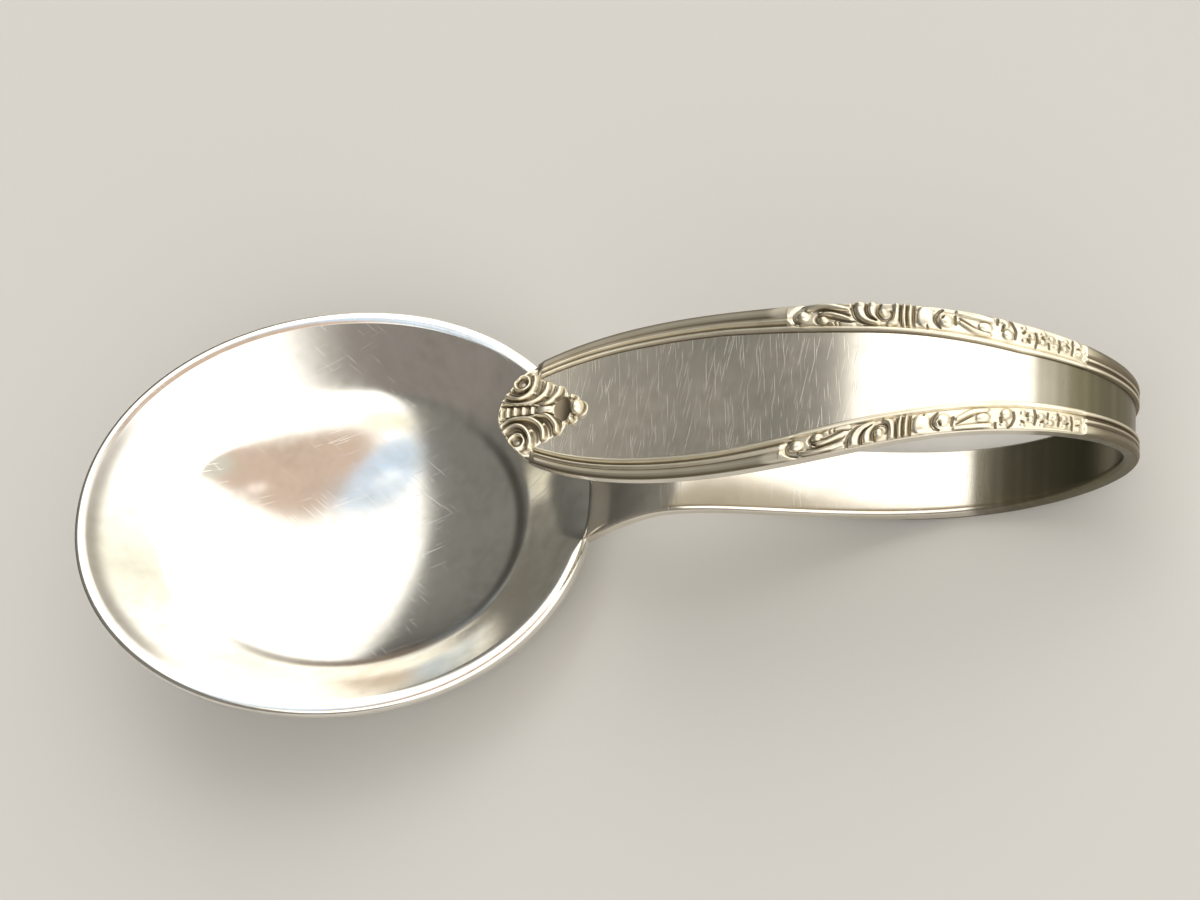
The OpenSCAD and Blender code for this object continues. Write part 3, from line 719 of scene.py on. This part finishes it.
def reliefOf(u, v, strokes, domes):
    # Highest of all the ridges: a stroke's section is a rounded bow, a dome's a flattened ball
    field = np.zeros(np.broadcast(u, v).shape)
    for stroke in strokes:
        for a, b in zip(stroke[:-1], stroke[1:]):
            way = b[:2] - a[:2]
            t = np.clip(((u - a[0]) * way[0] + (v - a[1]) * way[1]) / (way @ way + 1e-12), 0, 1)
            away = np.hypot(u - a[0] - t * way[0], v - a[1] - t * way[1])
            full = np.clip(1 - (away / mix(a[2], b[2], t)) ** 2, 0, 1)
            field = np.maximum(field, mix(a[3], b[3], t) * full ** slabShape["strokePower"])
    for middleU, middleV, radiusU, radiusV, height in domes:
        full = np.clip(1 - ((u - middleU) / radiusU) ** 2 - ((v - middleV) / radiusV) ** 2, 0, 1)
        field = np.maximum(field, height * full ** slabShape["domePower"])
    return field


scrollShape = {"from": 23.0, "to": 45.2, "widest": 2.3, "step": 0.05,
               "across": 62, "acrossShare": 0.8, "edgeIn": 0.02,
               "height": 0.26, "depth": 0.11, "clear": 0.006, "endFade": 0.3, "soft": [0.8, 0.6],
               "pad": 0.1, "padStart": 0.2, "padEnd": 1.2, "padShare": 0.7, "padSide": 0.07}
# every relief: the powers that round its strokes and domes, how far its border dips into the
# plate, how far its hollows spread, and how deep they are where they are darkest
slabShape = {"strokePower": 0.62, "domePower": 0.55, "sink": 0.3, "spread": 0.16, "darkAt": 0.12,
             "carvedGain": 1.1}

# Leaves and grooves are lines of [along, in from the edge, half width, height or depth share]
scrollLeaves = [
    [[24.75, 0.42, 0.16, 0.7], [25.3, 0.28, 0.24, 0.9], [26.2, 0.25, 0.24, 0.9], [27.1, 0.36, 0.22, 0.85],
     [27.9, 0.5, 0.16, 0.7]],
    [[25.7, 0.86, 0.18, 0.75], [26.5, 0.86, 0.2, 0.8], [27.4, 1.08, 0.19, 0.75], [28.05, 1.3, 0.14, 0.6]],
    [[26.5, 1.6, 0.13, 0.6], [27.3, 1.7, 0.15, 0.65], [28.3, 1.76, 0.12, 0.5]],
    [[28.75, 0.05, 0.4, 0.95], [28.72, 0.6, 0.42, 1], [28.95, 1.1, 0.36, 1], [29.4, 1.42, 0.24, 0.9],
     [30.1, 1.62, 0.15, 0.7]],
    [[29.68, 0.05, 0.3, 0.9], [29.62, 0.6, 0.33, 0.95], [29.78, 1.08, 0.26, 0.9], [30.15, 1.4, 0.15, 0.7]],
    [[31.45, 0.1, 0.24, 0.9], [31.45, 0.8, 0.25, 0.95], [31.3, 1.4, 0.24, 0.9], [30.9, 1.65, 0.16, 0.7]],
    [[32.0, 0.1, 0.16, 0.8], [31.97, 0.9, 0.17, 0.85], [32.03, 1.65, 0.14, 0.75]],
    [[32.42, 0.1, 0.15, 0.8], [32.4, 0.9, 0.16, 0.85], [32.45, 1.65, 0.13, 0.75]],
    [[35.7, 0.24, 0.18, 0.75], [36.8, 0.28, 0.22, 0.8], [38.1, 0.34, 0.18, 0.7]],
    [[35.9, 0.95, 0.16, 0.7], [36.9, 1.42, 0.2, 0.75], [37.9, 1.52, 0.15, 0.65]],
]
scrollDomes = [
    [24.36, 1.04, 0.54, 0.47, 1.2], [25.98, 1.37, 0.42, 0.32, 1.05], [30.5, 0.75, 0.33, 0.31, 1.1],
    [33.42, 0.88, 0.66, 0.78, 0.8], [34.86, 0.98, 0.52, 0.48, 1.0], [37.6, 0.95, 0.52, 0.36, 0.7],
    [39.2, 1.2, 0.42, 0.4, 0.95], [39.0, 0.42, 0.3, 0.26, 0.7],
    [40.9, 0.82, 0.26, 0.3, 0.85], [41.65, 1.12, 0.26, 0.26, 0.8], [41.72, 0.42, 0.22, 0.2, 0.7],
    [42.3, 0.62, 0.26, 0.24, 0.85], [42.65, 1.18, 0.22, 0.24, 0.7], [43.3, 1.15, 0.25, 0.26, 0.85],
    [43.35, 0.47, 0.22, 0.2, 0.75], [44.42, 0.42, 0.26, 0.22, 0.7], [44.5, 1.05, 0.26, 0.26, 0.8],
    [40.35, 1.3, 0.2, 0.22, 0.7], [40.3, 0.35, 0.2, 0.18, 0.6],
]
scrollGrooves = [
    [[24.5, 0.04, 0.16, 0.9], [23.92, 0.25, 0.17, 1], [23.5, 0.6, 0.17, 1], [23.4, 1.05, 0.16, 1],
     [23.62, 1.45, 0.14, 1], [24.1, 1.63, 0.1, 0.8]],
    [[25.9, 0.76, 0.08, 0.7], [25.52, 0.98, 0.11, 1], [25.36, 1.3, 0.12, 1], [25.53, 1.6, 0.09, 0.9]],
    [[25.15, 0.62, 0.07, 0.6], [25.6, 0.53, 0.09, 0.9], [26.3, 0.54, 0.09, 0.9], [27.4, 0.78, 0.09, 0.9],
     [28.0, 0.97, 0.07, 0.7]],
    [[26.3, 1.17, 0.07, 0.7], [26.9, 1.28, 0.09, 0.9], [27.6, 1.44, 0.09, 0.9], [28.5, 1.5, 0.06, 0.6]],
    [[26.9, 1.5, 0.06, 0.8], [26.9, 1.7, 0.06, 0.8]], [[27.22, 1.55, 0.06, 0.8], [27.22, 1.76, 0.06, 0.8]],
    [[28.22, 0.04, 0.15, 1], [28.2, 0.7, 0.16, 1], [28.45, 1.2, 0.13, 1], [29.0, 1.6, 0.11, 0.9],
     [29.8, 1.8, 0.09, 0.8], [30.8, 1.8, 0.06, 0.6]],
    [[29.28, 0.02, 0.12, 1], [29.24, 0.6, 0.13, 1], [29.48, 1.05, 0.1, 0.9], [30.0, 1.4, 0.07, 0.7]],
    [[30.25, 0.15, 0.12, 0.9], [30.07, 0.5, 0.13, 1], [30.1, 0.95, 0.13, 1], [30.5, 1.36, 0.12, 1],
     [30.95, 1.2, 0.12, 1], [31.1, 0.85, 0.11, 1], [30.95, 0.6, 0.08, 0.8]],
    [[31.75, 0.08, 0.08, 1], [31.72, 0.9, 0.09, 1], [31.75, 1.7, 0.08, 1]],
    [[32.2, 0.08, 0.08, 1], [32.18, 0.9, 0.09, 1], [32.22, 1.7, 0.08, 1]],
    [[32.66, 0.08, 0.09, 1], [32.64, 0.9, 0.1, 1], [32.68, 1.7, 0.09, 1]],
    [[33.6, 1.5, 0.07, 0.9], [33.62, 1.8, 0.07, 0.9]],
    [[34.6, 0.2, 0.12, 0.9], [34.3, 0.45, 0.14, 1], [34.12, 0.85, 0.13, 1], [34.2, 1.25, 0.13, 1],
     [34.5, 1.6, 0.09, 0.9]],
    [[34.72, 0.62, 0.09, 1], [34.62, 0.85, 0.08, 0.9]], [[35.48, 0.5, 0.1, 0.9], [35.56, 1.15, 0.1, 1]],
    [[35.8, 0.6, 0.08, 0.8], [36.3, 0.85, 0.09, 0.9], [36.9, 1.15, 0.07, 0.7]],
    [[38.45, 0.05, 0.09, 1], [38.45, 0.55, 0.09, 1]], [[38.85, 0.5, 0.08, 1], [38.8, 0.95, 0.09, 1]],
    [[39.32, 0.1, 0.1, 1], [39.55, 0.35, 0.1, 1], [39.75, 0.8, 0.11, 1], [39.72, 1.35, 0.1, 0.9]],
    [[40.3, 0.7, 0.12, 1], [40.42, 0.55, 0.1, 0.9]], [[40.66, 1.1, 0.11, 1], [40.75, 1.35, 0.1, 0.9]],
    [[41.2, 0.45, 0.09, 1], [41.3, 1.0, 0.1, 1], [41.18, 1.65, 0.09, 0.9]],
    [[41.7, 0.68, 0.11, 1], [41.85, 0.8, 0.09, 1]], [[42.15, 1.0, 0.09, 1], [42.2, 1.5, 0.08, 0.9]],
    [[42.94, 0.5, 0.09, 1], [43.0, 1.0, 0.1, 1], [42.92, 1.55, 0.08, 0.9]],
    [[43.55, 0.68, 0.1, 1], [43.7, 0.85, 0.09, 1]],
    [[43.94, 0.2, 0.09, 1], [44.0, 0.8, 0.1, 1], [43.92, 1.45, 0.08, 0.9]],
    [[44.4, 0.72, 0.1, 1], [44.6, 0.75, 0.08, 1]],
]


def reliefSlab(name, d, y, ground, relief, carved, depth, node):
    # The relief's face on a grid; its border dips into the plate, where one flat face closes it
    s = slabShape
    ground = ground - depth * carved
    height = np.full(relief.shape, ground.min() - s["sink"])
    height[1:-1, 1:-1] = (ground + relief * (1 - carved))[1:-1, 1:-1]
    points = onHandle(d, y, height)
    rows, columns = relief.shape
    first = np.arange(rows) * columns
    last = first + columns - 1
    bottoms = [np.array([first[i], first[i + 1], last[i + 1], last[i]]) for i in range(1, rows - 2)]
    ends = [np.concatenate([[first[1]], [last[1]], np.arange(columns)[::-1]]),
            np.concatenate([[last[-2]], [first[-2]], first[-1] + np.arange(columns)])]
    cellLength = np.hypot(*(np.diff(points[:, columns // 2, [0, 2]], axis=0).mean(0)))
    cellWidth = np.abs(np.diff(points[rows // 2, :, 1])).mean()
    spread = blur(relief, s["spread"] / cellLength, s["spread"] / cellWidth)
    hollow = np.clip(np.maximum((spread - relief) / s["darkAt"], s["carvedGain"] * carved), 0, 1)
    buildPiece(name, points, ringQuads(rows, columns, False), bottoms + ends, reliefSilver, [node],
               hollow=hollow)


def buildScrolls(side, name, node):
    # Leaves and knobs over a pad on the border's plain ground, with grooves cut between them
    s = scrollShape
    d = np.linspace(s["from"], s["to"], int((s["to"] - s["from"]) / s["step"]))[:, None]
    share = np.linspace(0.0, s["acrossShare"], s["across"])[None, :]
    inward = borderWidth(d) * share + s["edgeIn"]
    # places were set on a border of the widest stretch, and draw in with it
    narrowed = inward * s["widest"] / borderWidth(d)
    u, v = d + 0 * narrowed, narrowed + 0 * d
    relief = s["height"] * reliefOf(u, v, [smoothStroke(rows) for rows in scrollLeaves], scrollDomes)
    carved = reliefOf(u, v, [smoothStroke(rows) for rows in scrollGrooves], [])
    ends = ease((d - s["from"]) / s["endFade"]) * ease((s["to"] - d) / s["endFade"])
    soft, softer = s["soft"]
    relief, carved = blur(relief, soft, soft) * ends, blur(carved, softer, softer) * ends
    # the pad starts behind the reeds' curved end and stops short of the border's inner reed
    pad = s["pad"] * ease(pastReeds(d, share) / s["padStart"]) * ease((s["to"] - d) / s["padEnd"])
    pad = pad * (1 - ease((share - s["padShare"]) / s["padSide"]))
    ground = outerFace() + moulding(d, share) + s["clear"] + pad
    y = side * (halfWidth(d) - inward)
    reliefSlab(name, d, y, ground, relief, carved, s["depth"], node)


buildScrolls(-1, "near_scrollwork", "near_scrolls")
buildScrolls(1, "far_scrollwork", "far_scrolls")


# The shell at the tip

shellShape = {"to": 7.6, "across": 190, "tipFrom": 0.09, "tipRows": 70, "rows": 90,
              "height": 0.36, "depth": 0.13,
              "wide": [3.62, 1.6], "narrowFrom": 3.0, "narrowOver": 4.2, "inset": 0.03,
              "edgeRound": 0.1, "pad": 0.12, "dip": -0.03, "padSpread": 3, "soft": 0.6,
              "rounding": 0.28, "roundTo": 1.6, "roundPower": 1.5, "roundFades": [1.5, 1.2],
              "lip": 0.5, "lipInward": 0.16, "lipHalf": 0.1, "lipTo": 3.0, "lipFade": 0.6}
# one half of the shell: [along, out from the middle line, half width, height or depth share]
shellRidges = [
    [[0.45, 1.66, 0.14, 0.7], [1.0, 1.29, 0.18, 0.85], [1.71, 1.12, 0.2, 0.95], [2.36, 1.36, 0.21, 1],
     [2.79, 1.93, 0.22, 1], [2.93, 2.5, 0.2, 0.95], [2.84, 2.95, 0.16, 0.8]],
    [[0.36, 1.0, 0.14, 0.7], [1.14, 0.66, 0.15, 0.8], [2.14, 0.58, 0.16, 0.85], [3.0, 0.76, 0.19, 0.95],
     [3.64, 1.21, 0.23, 1], [3.93, 1.71, 0.26, 1], [3.98, 2.22, 0.22, 0.9]],
    [[2.7, 0.44, 0.06, 0.4], [3.5, 0.46, 0.12, 0.7], [4.1, 0.5, 0.18, 0.9], [4.57, 0.8, 0.23, 1],
     [4.93, 1.29, 0.26, 1.05], [5.0, 1.75, 0.26, 1]],
]
shellGrooves = [
    [[0.6, 1.98, 0.05, 0.7], [1.1, 1.68, 0.07, 1], [1.65, 1.57, 0.08, 1], [2.18, 1.74, 0.08, 1],
     [2.52, 2.12, 0.08, 1], [2.6, 2.6, 0.07, 1], [2.5, 3.0, 0.05, 0.7]],
    [[0.4, 1.32, 0.06, 0.7], [1.1, 0.97, 0.08, 1], [1.8, 0.86, 0.08, 1], [2.6, 1.02, 0.09, 1],
     [3.1, 1.45, 0.09, 1], [3.38, 2.0, 0.08, 1], [3.42, 2.6, 0.06, 0.8]],
    [[3.1, 0.52, 0.05, 0.8], [3.62, 0.72, 0.08, 1], [4.12, 1.08, 0.09, 1], [4.4, 1.55, 0.08, 1],
     [4.5, 2.1, 0.06, 0.8]],
    [[0.35, 0.62, 0.06, 0.8], [1.2, 0.44, 0.06, 1], [2.3, 0.38, 0.06, 1], [3.1, 0.36, 0.05, 0.9]],
    [[3.2, 0.5, 0.04, 0.6], [4.0, 0.28, 0.05, 0.8], [4.7, 0.45, 0.07, 0.9]],
    [[4.9, 0.75, 0.08, 0.9], [5.25, 1.05, 0.09, 0.9], [5.35, 1.5, 0.06, 0.6]],
]
shellDomes = [[2.96, 1.5, 0.14, 0.14, 0.75], [4.02, 1.12, 0.12, 0.12, 0.7], [0.5, 0.8, 0.14, 0.12, 0.5],
              [6.1, 0.94, 0.24, 0.23, 0.9]]
shellVolute = {"middle": [1.86, 2.43], "radii": [0.62, 0.58], "half": 0.16, "pit": 0.42, "steps": 30}
shellBars = {"places": [0.3, 0.86, 1.5, 2.2, 2.93], "reach": 0.3,
             "end": [0.15, 0.5], "middle": [0.17, 0.6]}
# on the middle line: a tongue, a cup sunk behind it, the pearl that closes the cup and the
# patch round the pearl where nothing is cut
shellDrop = {"tongue": [3.95, 0, 0.72, 0.42, 0.55], "cup": [5.4, 0, 0.72, 1.05, 1.5],
             "pearl": [6.62, 0, 0.52, 0.62, 1.35], "clearing": [6.62, 0, 0.6, 0.7, 1]}


def shellParts():
    # Ridges and domes that stand up, and grooves and pits that are sunk
    v = shellVolute
    ridges, domes, grooves, pits = [], [], [], []
    t = np.linspace(0, 2 * math.pi, v["steps"])
    for side in (-1, 1):
        flip = np.array([1, side, 1, 1])
        ridges += [smoothStroke(np.array(rows) * flip) for rows in shellRidges]
        grooves += [smoothStroke(np.array(rows) * flip) for rows in shellGrooves]
        ridges.append(np.stack([v["middle"][0] + v["radii"][0] * np.cos(t),
                                side * (v["middle"][1] + v["radii"][1] * np.sin(t)),
                                np.full(len(t), v["half"]), np.ones(len(t))], -1))
        pits.append([v["middle"][0], side * v["middle"][1], v["pit"], v["pit"], 1])
        domes += [[d, side * y, a, b, height] for d, y, a, b, height in shellDomes]
    bars, drop = shellBars, shellDrop
    for at in bars["places"]:
        ridges.append(smoothStroke([[at, -bars["reach"], *bars["end"]], [at, 0, *bars["middle"]],
                                    [at, bars["reach"], *bars["end"]]]))
    return ridges, domes + [drop["tongue"], drop["pearl"]], grooves, pits + [drop["cup"]]


def buildShell():
    # Two ringed volutes, their ridges, bars and a drop over a pad on the panel's rounded tip
    s = shellShape
    rest = np.linspace(handleShape["tipRound"], s["to"], s["rows"])[1:]
    d = np.concatenate([roundTip(s["tipFrom"], s["tipRows"]), rest])[:, None]
    across = np.linspace(-1, 1, s["across"])[None, :]
    # past the volutes the patch stays as wide as the arcs, clear of the borders
    narrowed = mix(*s["wide"], ease((d - s["narrowFrom"]) / s["narrowOver"]))
    wide = np.minimum(halfWidth(d) - s["inset"], narrowed)
    y = across * wide
    u = d + 0 * y
    ridges, domes, grooves, pits = shellParts()
    relief = s["height"] * reliefOf(u, y, ridges, domes)
    carved = reliefOf(u, y, grooves, pits)
    inward = edgeDistance(d, y)
    lip = s["height"] * s["lip"] * np.exp(-((inward - s["lipInward"]) / s["lipHalf"]) ** 2)
    relief = np.maximum(relief, lip * ease((s["lipTo"] - d) / s["lipFade"]))
    relief, carved = blur(relief, s["soft"], s["soft"]), blur(carved, s["soft"], s["soft"])
    # the panel's middle is rounded under the shell
    swell = s["rounding"] * np.clip(1 - (y / s["roundTo"]) ** 2, 0, 1) ** s["roundPower"]
    fadeStart, fadeEnd = s["roundFades"]
    swell = swell * ease(d / fadeStart) * ease((s["to"] - d) / fadeEnd)
    pearl = reliefOf(u, y, [], [shellDrop["clearing"]])
    # the shell stands on a thin pad of its own outline, so that its grooves stay over the plate
    covered = np.maximum(relief > 0.01, carved > 0.05).astype(float)
    pad = np.clip(blur(covered, s["padSpread"], s["padSpread"]) * 2, 0, 1)
    ground = outerFace() - roundedDrop(inward, s["edgeRound"]) + swell * pad
    ground = ground + mix(s["dip"], s["pad"], ease(pad))
    reliefSlab("tip_shell", d, y, ground, relief, carved * (1 - pearl), s["depth"], "shell")


buildShell()


# Floor, lights and camera

stageLook = {"floor": "#CFCDC9", "rough": 0.9, "size": 10.0}


def buildFloor():
    # matt paper: it takes a soft shadow and reflects nothing sharp
    half = stageLook["size"] / 2
    mesh = bpy.data.meshes.new("floor")
    corners = [(-half, -half, 0), (half, -half, 0), (half, half, 0), (-half, half, 0)]
    mesh.from_pydata(corners, [], [(0, 1, 2, 3)])
    material, tree = newMaterial("pale floor")
    shader = addNode(tree, "ShaderNodeBsdfPrincipled", Base_Color=toLinear(stageLook["floor"]),
                     Roughness=stageLook["rough"])
    addNode(tree, "ShaderNodeOutputMaterial", Surface=shader)
    mesh.materials.append(material)
    floor = bpy.data.objects.new("floor", mesh)
    bpy.context.scene.collection.objects.link(floor)


buildFloor()

# Directions are [azimuth, elevation] in degrees: azimuth 0 is the near side and 90 the loop's end.
# The shade lightens between two elevations, the wall fades in between two cosines, and each
# oval card between two squared radii, on the near side of the sky alone.
studioLook = {
    "nearSide": [0.0, 0.3],
    "shade": {"colour": "#F4F1E8", "level": 0.235, "low": 0.06, "lowEdge": [4, 46]},
    "wall": {"colour": "#FFFDF8", "level": 1.8, "towards": [92, 0], "fade": [-0.3, -0.21]},
    "cards": [
        # a low corner beyond the loop, dimmer than the wall, which the bend and the far end show
        {"colour": "#F2EED8", "level": 1.15, "towards": [112, 4], "reach": [0.75, 0.26],
         "fade": [1.5, 0.3]},
        # a dim low stretch on the near side, which draws the highlight in by the shoulder
        {"colour": "#F0E6DE", "level": 0.31, "towards": [-32, 10], "reach": [0.75, 0.5],
         "fade": [1.3, 0.5]},
        # overhead: a brown shape with a pale tip, and a warm and a cool lamp beside it
        {"colour": "#FBE0CC", "level": 0.72, "towards": [78, 73], "reach": [0.22, 0.37],
         "fade": [1.2, 0.8], "taper": -0.7},
        {"colour": "#F3F0E2", "level": 0.8, "towards": [80, 58], "reach": [0.1, 0.12],
         "fade": [1.5, 0.3]},
        {"colour": "#FFFBE4", "level": 1.25, "towards": [-24, 69], "reach": [0.11, 0.08],
         "fade": [1.3, 0.5]},
        {"colour": "#D3E6FC", "level": 1.1, "towards": [-106, 82], "reach": [0.27, 0.1],
         "fade": [1.3, 0.6]},
        # two small lamps, one on the brown shape and one on the cool one
        {"colour": "#FFF4EE", "level": 1.6, "towards": [104, 72], "reach": [0.028, 0.042],
         "fade": [1.5, 0.2]},
        {"colour": "#F4FAFF", "level": 1.6, "towards": [-118, 81], "reach": [0.07, 0.032],
         "fade": [1.5, 0.2]},
    ],
}


def wayTo(azimuth, elevation):
    # unit vector of a direction
    a, e = math.radians(azimuth), math.radians(elevation)
    return np.array([math.sin(a) * math.cos(e), -math.cos(a) * math.cos(e), math.sin(e)])


def lit(colour, level):
    # a colour times a level
    return [part * level for part in toLinear(colour)[:3]] + [1]


def fadeTowards(tree, direction, way, fade):
    # smooth step of the cosine between the direction and a way, from one cosine to another
    cosine = addNode(tree, "ShaderNodeVectorMath", dotted, at0=direction, at1=list(way))
    return addNode(tree, "ShaderNodeMapRange", smooth, Value=cosine.outputs["Value"], **between(fade))


def ovalCard(tree, direction, card):
    # A soft oval in its own plane, (x/a)^2 + (y/b)^2, with x drawn in as y grows: x(1 + taper y).
    # The same oval on the far side of the sky fades out.
    middle = wayTo(*card["towards"])
    wide = np.cross([0, 0, 1], middle)
    wide = wide / np.linalg.norm(wide)
    sides = wide / card["reach"][0], np.cross(middle, wide) / card["reach"][1]
    dots = [addNode(tree, "ShaderNodeVectorMath", dotted, at0=direction, at1=list(way)) for way in sides]
    x, y = [dot.outputs["Value"] for dot in dots]
    narrowed = addNode(tree, "ShaderNodeMath", {"operation": "MULTIPLY_ADD"}, at0=y,
                       at1=card.get("taper", 0), at2=1.0)
    x = addNode(tree, "ShaderNodeMath", times, at0=x, at1=narrowed)
    squares = [addNode(tree, "ShaderNodeMath", times, at0=v, at1=v) for v in (x, y)]
    oval = addNode(tree, "ShaderNodeMath", {"operation": "ADD"}, at0=squares[0], at1=squares[1])
    soft = addNode(tree, "ShaderNodeMapRange", smooth, Value=oval, **between(card["fade"]))
    near = fadeTowards(tree, direction, middle, studioLook["nearSide"])
    return addNode(tree, "ShaderNodeMath", times, at0=near, at1=soft)


def buildStudio():
    # Shade, darker near the floor, then one broad pale wall beyond the loop, then the cards:
    # each layer covers the ones before it
    look = studioLook
    world = bpy.data.worlds.new("studio")
    world.use_nodes = True
    tree = world.node_tree
    tree.nodes.clear()
    direction = addNode(tree, "ShaderNodeTexCoord").outputs["Generated"]
    shade, wall = look["shade"], look["wall"]
    lowEdge = [math.sin(math.radians(e)) for e in shade["lowEdge"]]
    layers = [(shade, fadeTowards(tree, direction, (0, 0, 1), lowEdge)),
              (wall, fadeTowards(tree, direction, wayTo(*wall["towards"]), wall["fade"]))]
    layers += [(card, ovalCard(tree, direction, card)) for card in look["cards"]]
    colour = lit(shade["colour"], shade["low"])
    for layer, share in layers:
        colour = addNode(tree, "ShaderNodeMix", colours, at0=share, at6=colour,
                         at7=lit(layer["colour"], layer["level"])).outputs[2]
    sky = addNode(tree, "ShaderNodeBackground", Color=colour, Strength=1.0)
    addNode(tree, "ShaderNodeOutputWorld", Surface=sky)
    bpy.context.scene.world = world


buildStudio()

# aim, distance and size in metres, power in watts
keyLamp = {"towards": [170, 58], "aim": [0.015, 0, 0.01], "distance": 0.8, "size": 0.3, "power": 0.165,
           "colour": "#FFF8EC"}


def placeObject(data, axes, where):
    # An object whose own axes point along the three given ones
    thing = bpy.data.objects.new(data.name, data)
    rows = [[*(axis[i] for axis in axes), where[i]] for i in range(3)]
    thing.matrix_world = Matrix(rows + [[0, 0, 0, 1]])
    bpy.context.scene.collection.objects.link(thing)
    return thing


def addSoftbox(name, look):
    # A square lamp that faces the middle of the spoon
    lamp = bpy.data.lights.new(name, "AREA")
    lamp.shape = "SQUARE"
    lamp.size = look["size"]
    lamp.energy = look["power"]
    lamp.color = toLinear(look["colour"])[:3]
    back = wayTo(*look["towards"])
    right = np.cross([0, 0, 1], back)
    right = right / np.linalg.norm(right)
    where = np.array(look["aim"]) + back * look["distance"]
    placeObject(lamp, [right, np.cross(back, right), back], where)


addSoftbox("key softbox", keyLamp)

# angles in degrees and places in millimetres; focal and frameWidth are the photograph's pixels
cameraPlace = {"azimuth": 27.994, "elevation": 62.609, "roll": -25.781, "distance": 219.846,
               "aim": [23, 0, 0], "shiftRight": 0.039, "shiftUp": 4.444, "focal": 2709.843,
               "frameWidth": 1200, "sensor": 36}


def buildCamera():
    # The photograph's viewpoint, solved against the rim and the handle with the rim level
    c = cameraPlace
    a, r = math.radians(c["azimuth"]), math.radians(c["roll"])
    back = wayTo(c["azimuth"], c["elevation"])
    level = np.array([math.cos(a), math.sin(a), 0])
    upright = np.cross(back, level)
    right = level * math.cos(r) + upright * math.sin(r)
    up = -level * math.sin(r) + upright * math.cos(r)
    place = np.array(c["aim"]) + back * c["distance"] + right * c["shiftRight"] + up * c["shiftUp"]
    data = bpy.data.cameras.new("camera")
    data.sensor_width = c["sensor"]
    data.lens = c["focal"] * c["sensor"] / c["frameWidth"]
    data.clip_start, data.clip_end = 0.01, 10
    axes = turnNormals(np.stack([right, up, back]))
    bpy.context.scene.camera = placeObject(data, axes, settle(place))


buildCamera()

bpy.context.scene.view_settings.view_transform = "Standard"
bpy.context.view_layer.update()
print("camera, lights and floor made")
